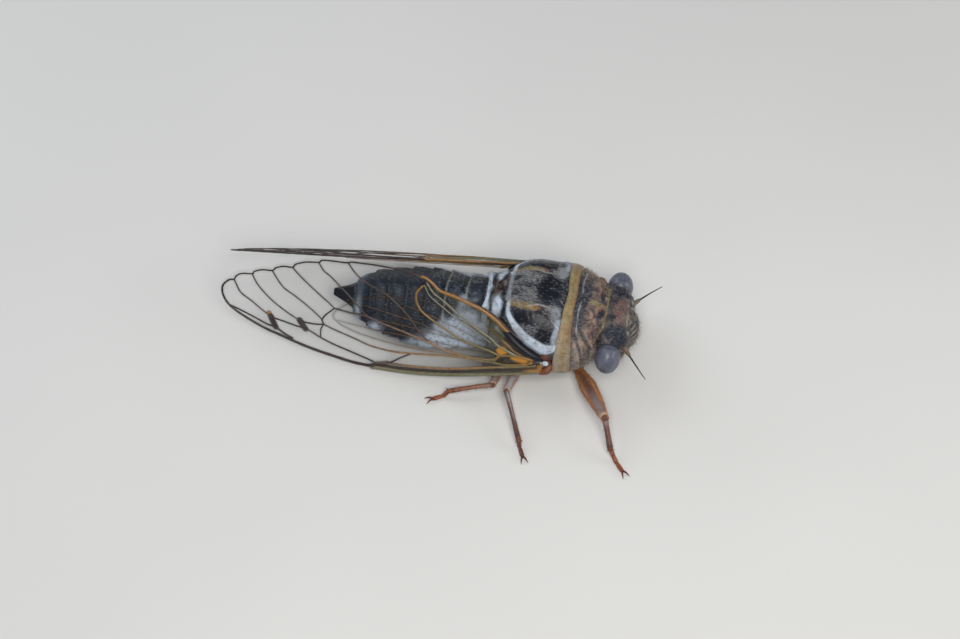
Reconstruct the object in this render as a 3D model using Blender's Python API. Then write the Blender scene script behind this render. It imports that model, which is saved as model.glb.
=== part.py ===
"""A life-size cicada at rest, wings folded like a roof, standing on six feet.

Sizes are in millimetres and turned into metres by the helper MM. The animal faces +X, its left side is +Y,
the floor is z = 0. A station is a distance behind the front of the head, along the body.
"""

import math

import bmesh
import bpy
from mathutils import Vector
from mathutils.geometry import delaunay_2d_cdt

MM = 0.001

# Driving dimensions.
BODY_LENGTH = 26.7
FRONT_X = 17.527
MIDLINE_Y = 2.946
GAP = 0.3

# The trunk's outline: station, half width, top, bottom.
TRUNK_PROFILE = (
    (2.4, 2.9, 6.2, 2.7),
    (3.3, 3.5, 6.7, 2.4),
    (4.4, 4.2, 7.3, 2.0),
    (5.6, 4.7, 7.75, 1.7),
    (6.7, 4.8, 8.0, 1.5),
    (8.6, 4.5, 8.3, 1.4),
    (10.6, 4.0, 7.9, 1.4),
    (12.6, 3.5, 6.65, 1.6),
    (14.0, 3.6, 6.1, 1.4),
    (16.5, 3.65, 5.85, 1.0),
    (19.0, 3.45, 5.6, 1.0),
    (21.0, 3.2, 5.35, 1.15),
    (23.0, 2.85, 5.05, 1.4),
    (24.4, 2.0, 4.45, 1.75),
    (25.1, 1.15, 3.85, 2.05),
    (26.7, 0.33, 3.15, 2.45),
)
TRUNK_SIDES = 28
# How far up the abdomen is widest, and how much its upper part is like a roof: 1 is round.
WIDEST_AT = 0.33
ROOF_POWER = 1.6

# The cross-sections of the plates: how square an upper plate's side and top are, how far its foot spreads.
ARCH_SIDE_POWER = 0.85
ARCH_TOP_POWER = 0.9
FOOT_SPREAD = 0.9
# The same for a plate whose border overhangs its side, and how far down from the border that side turns in.
DOME_STEPS = 12
DOME_POWER = 0.9
SIDE_TURN = 0.25
# The same for the underside.
KEEL_SPREAD = 0.96
KEEL_POWER = 0.8

# Stations of the joins between the plates of the trunk, and the heights at which upper and lower plates meet.
PRONOTUM_FRONT = 3.1
UNDERSIDE_FRONT = 3.88
UNDERSIDE_JOIN = 6.35
COLLAR_FRONT = 5.55
COLLAR_REAR = 6.45
THORAX_REAR = 13.0
WAIST_HEIGHT = 3.9
PRONOTUM_FOOT = 3.2
COLLAR_FOOT = 3.1
PROTHORAX_CROWN = 2.7
# The collar: distance behind its front, how far it swells out and how much its foot flares.
COLLAR_RINGS = ((0.0, 0.0, 0.1), (0.35, 0.14, 0.2), (0.55, 0.18, 0.25), (0.9, 0.05, 0.2))
# The back plate of the middle thorax: station, border half width and height, half width under the border and
# at the foot, top. The cross behind it: station, half width, top.
MESONOTUM_PROFILE = (
    (6.75, 4.65, 4.4, 4.45, 4.35, 7.95),
    (8.8, 4.2, 5.2, 3.75, 4.0, 8.4),
    (10.2, 3.35, 6.1, 3.0, 3.8, 8.3),
    (11.2, 2.4, 6.7, 2.1, 3.4, 7.9),
    (11.9, 1.3, 7.0, 1.3, 2.4, 7.5),
)
SCUTELLUM_PROFILE = ((12.2, 1.5, 7.2), (12.6, 1.7, 7.1), (13.0, 2.0, 6.6))
SCUTELLUM_DEPTH = 0.7
SCUTELLUM_FOOT = 3.4
# The raised cross: its middle and the ends of its arms as station, side, height; the arms' radii.
CROSS_CENTRE = (12.75, 0.0, 7.0)
CROSS_ENDS = ((12.5, 1.3, 7.0), (12.5, -1.3, 7.0), (13.05, 1.5, 6.65), (13.05, -1.5, 6.65))
CROSS_RADII = (0.5, 0.35, 0.27)
ABDOMEN_JOINS = (13.3, 15.1, 16.9, 18.6, 20.3, 21.9, 23.4, 24.8)
RING_SWELLS = (0.0, 0.08, 0.12, 0.04)

# The two flaps under the waist: station, side, height and half sizes.
FLAP_PLACE = (13.6, 1.35, 0.72)
FLAP_SIZE = (1.35, 1.0, 0.27)

# The head, its eyes, ocelli, face and beak.
HEAD_STATION = 2.3
HEAD_SIZE = (1.7, 3.45, 2.0)
HEAD_HEIGHT = 4.6
HEAD_REAR = 2.8
EYE_STATION = 2.2
EYE_SPREAD = 3.62
EYE_HEIGHT = 4.35
EYE_SIZE = (1.1, 1.28, 1.46)
OCELLUS_RADIUS = 0.24
OCELLUS_RISE = 0.93
OCELLI = ((1.8, 0.0), (2.5, 0.55), (2.5, -0.55))
FACE_STATION = 1.5
FACE_SIZE = (1.5, 1.75, 2.35)
FACE_HEIGHT = 3.7
FACE_RIDGES = 9
RIDGE_DEPTH = 0.03
# The beak and the feelers: their lines, and radii from root to tip. A feeler's way is forwards, out and up.
BEAK_LINE = ((3.05, 0, 1.15), (6.15, 0, 0.95), (9.25, 0, 0.8))
BEAK_RADII = (0.42, 0.336, 0.25)
ANTENNA_ROOT = (0.7, 2.45, 4.1)
ANTENNA_WAY = (0.62, 0.74, -0.1)
ANTENNA_DROOP = (0.06, 0.0, -0.06)
ANTENNA_BASE = 0.5
ANTENNA_LENGTH = 2.7
ANTENNA_RADII = (0.3, 0.27, 0.25, 0.12)

# The wings. A wing's own plane has u from its base to its tip and v from its front edge to its hind edge.
WING_BASE = (7.3, 5.3, 3.5)
WING_TIP = (36.35, 1.85, 3.95)
WING_ROOF_ANGLE = math.radians(58)
WING_BULGE = 0.55
BULGE_START = -2.5
BULGE_REACH = 31.0
MEMBRANE = 0.5
VEIN_RISE = 0.26
VEIN_WIDTH = 0.34
EDGE_VEIN_WIDTH = 0.6
HINDWING_DEPTH = 0.87
HINDWING_MEMBRANE = 0.42
HINDWING_VEIN_RISE = 0.12
# The spacing of the sheet's inner points, their distance from veins, and how near points are made one.
SHEET_STEP = 1.8
SHEET_CLEARANCE = 0.6
SHEET_WELD = 0.04
FOREWING_OUTLINE = (
    (0.3, -0.35), (2.5, -1.15), (5.5, -2.15), (9.1, -3.16), (11.7, -3.75), (14.9, -4.12), (18.4, -4.02),
    (21.7, -3.66), (24.7, -3.1), (27.4, -2.22), (28.6, -1.45), (29.18, -0.2), (28.95, 0.8), (27.7, 1.95),
    (26.0, 2.75), (24.2, 3.65), (22.2, 4.35), (20.0, 4.88), (17.8, 5.38), (15.4, 5.8), (12.9, 5.95),
    (10.8, 5.4), (7.8, 4.75), (5.8, 4.1), (4.1, 2.95), (2.0, 1.75), (0.9, 1.1), (0.3, 0.75),
)
FOREWING_VEINS = {
    "radius": ((0.9, 0.45), (4.6, -0.85), (8.7, -2.2), (11.8, -2.85), (14.5, -3.3)),
    "node": ((14.7, -3.6), (13.2, -2.85), (11.7, -1.55)),
    "sector": ((14.5, -3.4), (17.5, -2.8), (19.7, -2.3), (21.2, -1.8), (24.3, -1.6)),
    "media": (
        (4.5, -0.3), (9.3, -0.95), (13.1, -1.75), (16.6, -1.5), (19.6, -0.9), (21.7, -1.2), (21.2, -1.8),
    ),
    "cubitus": ((4.3, 0.1), (6.4, -0.35), (10.3, 0.08), (14.1, 0.65), (18.9, 0.9)),
    "cross_cubitus": ((18.9, 0.9), (19.6, 0.0), (19.6, -0.9)),
    "cross_media": ((19.6, -0.9), (19.7, -2.3)),
    "first_cross": ((24.3, -1.6), (23.8, -2.5)),
    "radial_tip": ((22.2, -3.2), (23.8, -2.5), (25.7, -2.15), (28.3, -1.6)),
    "apical_1": ((28.1, 0.9), (27.3, -0.1), (25.3, -1.1), (24.3, -1.6)),
    "apical_2": ((26.6, 1.9), (25.7, 0.9), (23.2, -0.6), (21.7, -1.2)),
    "apical_3": ((24.9, 2.7), (23.6, 1.5), (21.2, 0.4), (19.7, -0.6)),
    "apical_4": ((23.2, 3.5), (21.6, 2.5), (18.9, 0.9)),
    "apical_5": ((21.0, 4.2), (19.6, 3.5), (16.1, 1.1)),
    "apical_6": ((18.5, 4.8), (16.6, 4.0), (13.2, 2.6), (10.4, 0.15)),
    "ambient": (
        (28.1, 0.9), (26.6, 1.9), (24.9, 2.7), (23.2, 3.5), (21.0, 4.2), (18.5, 4.8), (15.4, 5.3),
        (12.2, 5.3),
    ),
    "claval_margin": (
        (12.2, 5.3), (10.0, 4.65), (7.8, 4.25), (5.8, 3.65), (4.1, 2.75), (2.0, 1.5), (0.9, 0.9),
    ),
    "claval_vein": ((11.4, 5.0), (9.4, 3.85), (6.2, 2.4), (2.6, 0.85)),
    "loop": ((11.9, 5.0), (12.1, 4.0), (11.4, 2.8), (9.3, 1.8), (7.0, 1.0), (4.1, 0.5)),
    "arculus": ((4.5, -0.3), (4.1, 0.5)),
    "basal": ((4.5, -0.3), (2.2, 0.1), (0.9, 0.45)),
}
HINDWING_OUTLINE = (
    (4.3, -0.1), (6.0, -0.62), (8.0, -1.02), (10.0, -1.3), (14.5, -1.5), (18.2, -1.0), (19.15, -0.1),
    (18.5, 1.2), (16.6, 2.55), (14.6, 3.25), (11.2, 3.78), (9.4, 3.5), (7.6, 2.8), (6.0, 2.0),
    (4.5, 1.1),
)
HINDWING_VEINS = {
    "front": ((5.4, -0.1), (8.0, -0.5), (12.5, -0.85), (16.4, -0.8)),
    "middle": ((5.2, 0.4), (8.0, 0.6), (12.6, 0.65), (17.2, 0.6)),
    "fork": ((8.0, 0.6), (11.4, 1.4), (14.6, 2.2)),
    "cross": ((13.2, 0.65), (13.6, -0.2), (13.2, -0.85)),
    "hind": ((5.4, 1.0), (7.6, 1.8), (11.4, 2.8)),
}

# The legs: hip, knee, ankle and toe as station, distance from the midline, height. Left ones are tucked in.
LEGS = {
    ("front", "right"): ((4.9, 2.9, 0.95), (1.6, 8.45, 2.52), (0.75, 10.5, 0.95), (-0.8, 12.3, 0.0)),
    ("middle", "right"): ((9.2, 2.6, 0.85), (10.4, 6.75, 1.7), (8.6, 10.9, 0.8), (7.9, 12.4, 0.0)),
    ("hind", "right"): ((11.4, 2.5, 0.8), (11.7, 6.0, 1.1), (15.4, 7.1, 0.75), (17.0, 7.9, 0.0)),
    ("front", "left"): ((5.5, 2.0, 0.72), (4.1, 6.2, 1.45), (2.0, 4.4, 0.75), (1.4, 2.2, 0.0)),
    ("middle", "left"): ((9.2, 2.4, 0.8), (10.3, 6.0, 1.3), (6.9, 6.7, 0.8), (5.3, 6.0, 0.0)),
    ("hind", "left"): ((11.4, 2.5, 0.8), (12.2, 5.1, 0.75), (16.2, 4.5, 0.5), (17.9, 4.3, 0.0)),
}
THIGH_RADII = {"front": (0.5, 0.8, 0.5), "middle": (0.4, 0.42, 0.36), "hind": (0.36, 0.38, 0.34)}
# Where along the thigh its widest place is, and how far the shin stands off the knee, straight and folded.
THIGH_WIDEST = 0.45
KNEE_STAND_OFF = 1.05
KNEE_FOLD_STAND_OFF = 1.6
SHIN_RADIUS = 0.27
SHIN_TAPER = 0.95
ANKLE_STAND_OFF = 0.9
FOOT_RADIUS = 0.27
FOOT_TAPER = 0.9
FOOT_FLAT = 0.9
FOOT_TIP_HEIGHT = 0.6
HEEL_RISE = 0.12
CLAW_LENGTH = 0.75
CLAW_SPREAD = 0.3
CLAW_RADIUS = 0.13
CLAW_ROOT = 0.08
CLAW_TIP_HEIGHT = 1.2
CLAW_START = 0.6
THORN_TIP = 0.045
THIGH_THORN_LEAN = 0.2
THIGH_THORN_DEPTH = 0.6
SHIN_THORN_LEAN = 0.7
SHIN_THORN_LIFT = 0.6
# Thorns under the front thighs and along the hind shins: share of the way along, length, radius at the root.
THIGH_THORNS = ((0.4, 0.9, 0.3), (0.72, 0.85, 0.28))
SHIN_THORNS = ((0.35, 0.55, 0.12), (0.6, 0.6, 0.12), (0.85, 0.6, 0.12))
# The rounded end of a limb, as shares of its radius: how far out the last ring is, and how wide.
END_INSET = 0.35
END_WIDTH = 0.55

COLOURS = {
    "head": (0.10, 0.09, 0.08),
    "eye": (0.20, 0.21, 0.25),
    "pronotum": (0.30, 0.21, 0.14),
    "collar": (0.36, 0.27, 0.12),
    "mesonotum": (0.07, 0.07, 0.07),
    "thorax": (0.30, 0.28, 0.25),
    "abdomen": (0.05, 0.055, 0.07),
    "leg": (0.33, 0.14, 0.07),
    "wing": (0.45, 0.40, 0.30),
}


def clear_scene():
    """Empties the scene that Blender starts with."""
    for obj in list(bpy.data.objects):
        bpy.data.objects.remove(obj, do_unlink=True)


def material(name):
    """The material of one of the animal's surfaces."""
    found = bpy.data.materials.get(name)
    if found is None:
        found = bpy.data.materials.new(name)
        found.use_nodes = True
        shader = found.node_tree.nodes["Principled BSDF"]
        shader.inputs["Base Color"].default_value = (*COLOURS[name], 1.0)
        shader.inputs["Roughness"].default_value = 0.25 if name in ("eye", "wing") else 0.55
        shader.inputs["Metallic"].default_value = 0.0
    return found


def place(station, side, height):
    """A point of the animal in metres, from a station, a distance to its left and a height."""
    return Vector((FRONT_X - station, MIDLINE_Y + side, height)) * MM


def add_object(name, bm, finish, collection="Cicada"):
    """Makes an object from a bmesh, with its normals facing out, and links it."""
    bmesh.ops.recalc_face_normals(bm, faces=bm.faces)
    mesh = bpy.data.meshes.new(name)
    bm.to_mesh(mesh)
    bm.free()
    mesh.materials.append(material(finish))
    mesh.shade_smooth()
    mesh.set_sharp_from_angle(angle=math.radians(40))
    obj = bpy.data.objects.new(name, mesh)
    bpy.data.collections[collection].objects.link(obj)
    return obj


def loft(rings):
    """A closed bmesh through rings of points, with a fan of triangles at each end."""
    bm = bmesh.new()
    rows = [[bm.verts.new(p) for p in ring] for ring in rings]
    count = len(rows[0])
    for near, far in zip(rows, rows[1:]):
        for i in range(count):
            j = (i + 1) % count
            bm.faces.new((near[i], near[j], far[j], far[i]))
    for row in (rows[0], rows[-1]):
        middle = bm.verts.new(sum((v.co for v in row), Vector()) / count)
        for i in range(count):
            bm.faces.new((row[i], row[(i + 1) % count], middle))
    return bm


def smooth_line(points, steps):
    """A Catmull-Rom curve through points, with a number of steps to each span."""
    points = [Vector(p) for p in points]
    padded = [points[0] * 2 - points[1], *points, points[-1] * 2 - points[-2]]
    line = []
    for a, b, c, d in zip(padded, padded[1:], padded[2:], padded[3:]):
        for k in range(steps):
            t = k / steps
            line.append(0.5 * (2 * b + (c - a) * t + (2 * a - 5 * b + 4 * c - d) * t * t
                               + (3 * b - a - 3 * c + d) * t ** 3))
    line.append(points[-1])
    return line


def trunk_at(station):
    """Half width, top and bottom of the trunk at a station."""
    line = smooth_line(TRUNK_PROFILE, 6)
    for near, far in zip(line, line[1:]):
        if near[0] <= station <= far[0]:
            share = (station - near[0]) / (far[0] - near[0])
            return [near[i] + (far[i] - near[i]) * share for i in (1, 2, 3)]
    edge = line[0] if station < line[0][0] else line[-1]
    return list(edge)[1:]


def trunk_ring(station, swell=0.0):
    """A ring round the whole trunk at a station, its upper part like a roof, moved out by a swell."""
    width, top, bottom = trunk_at(station)
    middle = bottom + (top - bottom) * WIDEST_AT
    ring = []
    for i in range(TRUNK_SIDES):
        angle = 2 * math.pi * i / TRUNK_SIDES
        out, up = math.cos(angle), math.sin(angle)
        height = (top - middle if up > 0 else middle - bottom) + swell
        power = ROOF_POWER if up > 0 else 1.0
        side = math.copysign(abs(out) ** power, out)
        rise = height * math.copysign(abs(up) ** power, up)
        ring.append(place(station, (width + swell) * side, middle + rise))
    return ring


def arch_ring(station, foot, swell=0.0, flare=0.0):
    """A ring round the upper part of the trunk, flat underneath at a height."""
    width, top, _ = trunk_at(station)
    half = TRUNK_SIDES // 2
    ring = []
    for i in range(half + 1):
        angle = math.pi * i / half
        side = (width + swell + flare * (1 - math.sin(angle))) * math.copysign(
            abs(math.cos(angle)) ** ARCH_SIDE_POWER, math.cos(angle))
        ring.append(place(station, side, foot + (top + swell - foot) * math.sin(angle) ** ARCH_TOP_POWER))
    for i in (1, 2, 3):
        ring.append(place(station, -(width + swell) * (1 - i / 2) * FOOT_SPREAD, foot))
    return ring


def shield_ring(row):
    """A ring round a back plate whose border overhangs its side: dome, border, side and flat foot."""
    station, border, border_height, under, foot, top = row
    turn = border_height * (1 - SIDE_TURN) + WAIST_HEIGHT * SIDE_TURN
    ring = []
    for i in range(DOME_STEPS + 1):
        angle = math.pi * i / DOME_STEPS
        side = border * math.copysign(abs(math.cos(angle)) ** DOME_POWER, math.cos(angle))
        ring.append(place(station, side, border_height + (top - border_height) * math.sin(angle)))
    ring.append(place(station, -under, turn))
    ring.extend(place(station, side * foot, WAIST_HEIGHT) for side in (-1, 0, 1))
    ring.append(place(station, under, turn))
    return ring


def keel_ring(station, crown, swell=0.0):
    """A ring round the lower part of the trunk, flat on top at a height."""
    width, _, bottom = trunk_at(station)
    half = TRUNK_SIDES // 2
    ring = []
    for i in range(half + 1):
        angle = math.pi + math.pi * i / half
        out = math.copysign(abs(math.cos(angle)) ** KEEL_POWER, math.cos(angle))
        side = (width + swell) * KEEL_SPREAD * out
        ring.append(place(station, side, crown + (crown - bottom + swell) * math.sin(angle)))
    for i in (1, 2, 3):
        ring.append(place(station, (width + swell) * (1 - i / 2) * FOOT_SPREAD, crown))
    return ring


def stations(start, end, count):
    """Evenly spaced stations, ends included."""
    return [start + (end - start) * i / (count - 1) for i in range(count)]


def ellipsoid(centre, size, segments=24, rings=14):
    """A closed ellipsoid bmesh, with its poles up and down."""
    bm = bmesh.new()
    bmesh.ops.create_uvsphere(bm, u_segments=segments, v_segments=rings, radius=1.0)
    bmesh.ops.scale(bm, vec=Vector(size) * MM, verts=bm.verts)
    bmesh.ops.translate(bm, vec=centre, verts=bm.verts)
    return bm


def limb(points, radii, sides=8, steps=3):
    """A closed tapered tube bmesh through points, its ends rounded by a smaller ring."""
    line = smooth_line(points, steps)
    widths = [w[0] for w in smooth_line([(r, 0.0) for r in radii], steps)]
    rings = []
    side = None
    for i, centre in enumerate(line):
        ahead = line[min(i + 1, len(line) - 1)] - line[max(i - 1, 0)]
        ahead.normalize()
        if side is None:
            side = ahead.cross(Vector((0, 0, 1))).normalized()
        side = (side - ahead * side.dot(ahead)).normalized()
        up = side.cross(ahead)
        for inset, scale in _end_steps(i, len(line)):
            middle = centre + ahead * inset * widths[i] * MM
            rings.append([middle + (side * math.cos(a) + up * math.sin(a)) * widths[i] * scale * MM
                          for a in (2 * math.pi * k / sides for k in range(sides))])
    return loft(rings)


def _end_steps(index, count):
    """How far along, and how wide, the rings at one point of a limb are."""
    if index == 0:
        return ((-END_INSET, END_WIDTH), (0.0, 1.0))
    if index == count - 1:
        return ((0.0, 1.0), (END_INSET, END_WIDTH))
    return ((0.0, 1.0),)


def boolean(obj, others, operation):
    """Joins an object with others or cuts it by them, keeps the result as its mesh and removes them."""
    group = bpy.data.collections.new(obj.name + "_others")
    for other in others:
        group.objects.link(other)
    modifier = obj.modifiers.new("join", "BOOLEAN")
    modifier.operation = operation
    modifier.operand_type = "COLLECTION"
    modifier.collection = group
    modifier.solver = "EXACT"
    graph = bpy.context.evaluated_depsgraph_get()
    bpy.context.view_layer.update()
    mesh = bpy.data.meshes.new_from_object(obj.evaluated_get(graph))
    obj.modifiers.remove(modifier)
    obj.data = mesh
    for other in others:
        bpy.data.objects.remove(other, do_unlink=True)
    bpy.data.collections.remove(group)
    keep_largest(obj)
    return obj


def keep_largest(obj):
    """Keeps only the largest closed surface of a mesh."""
    bm = bmesh.new()
    bm.from_mesh(obj.data)
    left = set(bm.verts)
    islands = []
    while left:
        stack = [left.pop()]
        island = set(stack)
        while stack:
            for edge in stack.pop().link_edges:
                for vert in edge.verts:
                    if vert in left:
                        left.remove(vert)
                        island.add(vert)
                        stack.append(vert)
        islands.append(island)
    islands.sort(key=len)
    for island in islands[:-1]:
        bmesh.ops.delete(bm, geom=list(island), context="VERTS")
    bm.to_mesh(obj.data)
    bm.free()


def helper(bm, finish="head"):
    """An object that is only joined to, or cut from, another."""
    return add_object("helper", bm, finish, "Cutters")


def thorn(root, tip, radius, sides=6):
    """A cone bmesh from a root to a blunt tip."""
    way = tip - root
    bm = bmesh.new()
    bmesh.ops.create_cone(bm, cap_ends=True, segments=sides, radius1=radius * MM, radius2=THORN_TIP * MM,
                          depth=way.length)
    bmesh.ops.rotate(bm, matrix=way.to_track_quat("Z", "Y").to_matrix(), verts=bm.verts)
    bmesh.ops.translate(bm, vec=(root + tip) / 2, verts=bm.verts)
    return bm


def cut_floor(bm):
    """Cuts a bmesh off flat at the floor."""
    cut = bmesh.ops.bisect_plane(bm, geom=bm.verts[:] + bm.edges[:] + bm.faces[:], dist=1e-7,
                                 plane_co=(0, 0, 0), plane_no=(0, 0, -1), clear_outer=True)
    edges = [e for e in cut["geom_cut"] if isinstance(e, bmesh.types.BMEdge)]
    if edges:
        bmesh.ops.contextual_create(bm, geom=edges)
    return bm


def sockets():
    """Cutters a little larger than the compound eyes and the face."""
    found = []
    for side in (-1, 1):
        middle = place(EYE_STATION, side * EYE_SPREAD, EYE_HEIGHT)
        found.append(helper(ellipsoid(middle, [radius + GAP for radius in EYE_SIZE], 20, 12)))
    middle = place(FACE_STATION, 0, FACE_HEIGHT)
    found.append(helper(ellipsoid(middle, [radius + GAP for radius in FACE_SIZE], 24, 14)))
    return found


def build_head():
    """The head between the eyes, with three ocelli, cut back round the eyes and the face."""
    bm = ellipsoid(place(HEAD_STATION, 0, HEAD_HEIGHT), HEAD_SIZE, 28, 16)
    for vert in bm.verts:
        rear = (FRONT_X - HEAD_REAR) * MM
        vert.co.x = max(vert.co.x, rear)
    head = add_object("head", bm, "head")
    crown = HEAD_HEIGHT + HEAD_SIZE[2] * OCELLUS_RISE
    size = (OCELLUS_RADIUS,) * 3
    ocelli = [helper(ellipsoid(place(station, side, crown), size, 8, 6)) for station, side in OCELLI]
    boolean(head, ocelli, "UNION")
    boolean(head, sockets(), "DIFFERENCE")


def build_eyes():
    """The two compound eyes."""
    for name, side in (("eye_right", -1), ("eye_left", 1)):
        middle = place(EYE_STATION, side * EYE_SPREAD, EYE_HEIGHT)
        add_object(name, ellipsoid(middle, EYE_SIZE, 20, 12), "eye")


def build_face():
    """The swollen, cross-ribbed face."""
    bm = ellipsoid(place(FACE_STATION, 0, FACE_HEIGHT), FACE_SIZE, 22, 23)
    centre = place(FACE_STATION, 0, FACE_HEIGHT)
    for vert in bm.verts:
        away = vert.co - centre
        rise = away.z / (FACE_SIZE[2] * MM)
        ridge = 1 + RIDGE_DEPTH * math.cos(rise * FACE_RIDGES * math.pi) * math.sqrt(max(0, 1 - rise * rise))
        vert.co = centre + Vector((away.x * ridge, away.y * ridge, away.z))
    add_object("face", bm, "head")


def build_beak():
    """The beak that runs back under the thorax from the foot of the face."""
    add_object("beak", limb([place(*point) for point in BEAK_LINE], BEAK_RADII, 10), "head")


def build_antennae():
    """The two bristle feelers in front of the eyes."""
    station, spread, height = ANTENNA_ROOT
    for name, side in (("antenna_right", -1), ("antenna_left", 1)):
        root = place(station, side * spread, height)
        ahead = Vector((ANTENNA_WAY[0], side * ANTENNA_WAY[1], ANTENNA_WAY[2])).normalized()
        points = [root, root + ahead * ANTENNA_BASE * MM, root + ahead * ANTENNA_LENGTH / 2 * MM,
                  root + (ahead + Vector(ANTENNA_DROOP)) * ANTENNA_LENGTH * MM]
        add_object(name, limb(points, ANTENNA_RADII, 6, 2), "head")


def build_pronotum():
    """The shield behind the head, grooved, and the collar behind it."""
    rings = [arch_ring(station, PRONOTUM_FOOT) for station in stations(PRONOTUM_FRONT, COLLAR_FRONT - GAP, 6)]
    boolean(add_object("pronotum", loft(rings), "pronotum"), sockets(), "DIFFERENCE")
    rings = [
        arch_ring(COLLAR_FRONT + behind, COLLAR_FOOT, swell, flare) for behind, swell, flare in COLLAR_RINGS
    ]
    add_object("pronotum_collar", loft(rings), "collar")


def build_thorax():
    """The middle of the body: its back, the cross on the back and its underside in two blocks."""
    rings = [shield_ring(row) for row in smooth_line(MESONOTUM_PROFILE, 2)]
    add_object("mesonotum", loft(rings), "mesonotum")
    rings = []
    for station, width, top in smooth_line(SCUTELLUM_PROFILE, 2):
        rings.append(shield_ring((station, width, top - SCUTELLUM_DEPTH, width, SCUTELLUM_FOOT, top)))
    cross = add_object("scutellum", loft(rings), "mesonotum")
    centre = place(*CROSS_CENTRE)
    arms = [helper(limb([centre, centre.lerp(place(*end), 0.5), place(*end)], CROSS_RADII, 8), "mesonotum")
            for end in CROSS_ENDS]
    boolean(cross, arms, "UNION")
    rings = [keel_ring(station, PROTHORAX_CROWN) for station in stations(UNDERSIDE_FRONT, UNDERSIDE_JOIN, 5)]
    add_object("prothorax_underside", loft(rings), "thorax")
    crown = WAIST_HEIGHT - GAP
    rings = [keel_ring(station, crown) for station in stations(COLLAR_REAR + GAP, THORAX_REAR, 7)]
    add_object("thorax_underside", loft(rings), "thorax")


def build_flaps():
    """The two small plates that cover the hearing organs under the waist."""
    station, spread, height = FLAP_PLACE
    for word, side in (("right", -1), ("left", 1)):
        middle = place(station, side * spread, height)
        add_object(f"operculum_{word}", ellipsoid(middle, FLAP_SIZE, 16, 8), "thorax")


def build_abdomen():
    """Seven overlapping rings and a pointed tail."""
    for number, (start, end) in enumerate(zip(ABDOMEN_JOINS, ABDOMEN_JOINS[1:]), 1):
        line = stations(start, end - GAP, 4)
        rings = [trunk_ring(station, swell) for station, swell in zip(line, RING_SWELLS)]
        add_object(f"abdomen_{number}", loft(rings), "abdomen")
    rings = [trunk_ring(station) for station in stations(ABDOMEN_JOINS[-1], BODY_LENGTH, 4)]
    add_object("abdomen_tip", loft(rings), "abdomen")


class WingPlane:
    """Where a point of the wing's own plane lies on the animal."""

    def __init__(self, side, depth):
        self.side = side
        self.depth = depth
        self.base, tip = (Vector((FRONT_X - p[0], p[1], p[2])) for p in (WING_BASE, WING_TIP))
        self.along = (tip - self.base).normalized()
        up = Vector((0, -math.cos(WING_ROOF_ANGLE), math.sin(WING_ROOF_ANGLE)))
        self.across = (up - self.along * up.dot(self.along)).normalized()
        self.out = self.across.cross(self.along).normalized()
        if self.out.y < 0:
            self.out = -self.out

    def bulge(self, u, v):
        """How far the roof swells out at a point."""
        low, high = wing_span(u)
        middle, half = (low + high) / 2, max((high - low) / 2, 0.5)
        across = min(1.0, abs(v - middle) / half)
        along = math.sin(math.pi * min(1.0, (u - BULGE_START) / BULGE_REACH)) ** 0.5
        return WING_BULGE * along * (1 - across ** 2)

    def point(self, u, v, rise):
        """A point of the wing in metres, a rise above its middle sheet."""
        p = self.base + self.along * u + self.across * v + self.out * (self.bulge(u, v) - self.depth + rise)
        return Vector((p.x, MIDLINE_Y + p.y * self.side, p.z)) * MM


def wing_span(u):
    """The lowest and highest v of the forewing at u."""
    crossings = []
    count = len(FOREWING_OUTLINE)
    u = min(max(u, 0.5), 29.0)
    for i in range(count):
        (u0, v0), (u1, v1) = FOREWING_OUTLINE[i], FOREWING_OUTLINE[(i + 1) % count]
        if (u0 - u) * (u1 - u) <= 0 and u0 != u1:
            crossings.append(v0 + (v1 - v0) * (u - u0) / (u1 - u0))
    return min(crossings), max(crossings)


def inset(rim, depth):
    """A closed outline of the plane moved inwards."""
    count = len(rim)
    moved = []
    for i, p in enumerate(rim):
        ahead = (rim[(i + 1) % count] - rim[i - 1]).normalized()
        moved.append(p + Vector((-ahead.y, ahead.x)) * depth)
    return moved


def inside(point, outline):
    """True if a point of the plane is inside a closed outline."""
    odd = False
    count = len(outline)
    for i in range(count):
        a, b = outline[i], outline[(i + 1) % count]
        above = (a[1] > point[1]) != (b[1] > point[1])
        if above and point[0] < a[0] + (b[0] - a[0]) * (point[1] - a[1]) / (b[1] - a[1]):
            odd = not odd
    return odd


def distance_to_line(point, line):
    """The least distance from a point of the plane to a broken line."""
    best = 1e9
    for a, b in zip(line, line[1:]):
        span = b - a
        share = max(0.0, min(1.0, (point - a).dot(span) / max(span.length_squared, 1e-12)))
        best = min(best, (point - a - span * share).length)
    return best


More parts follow.
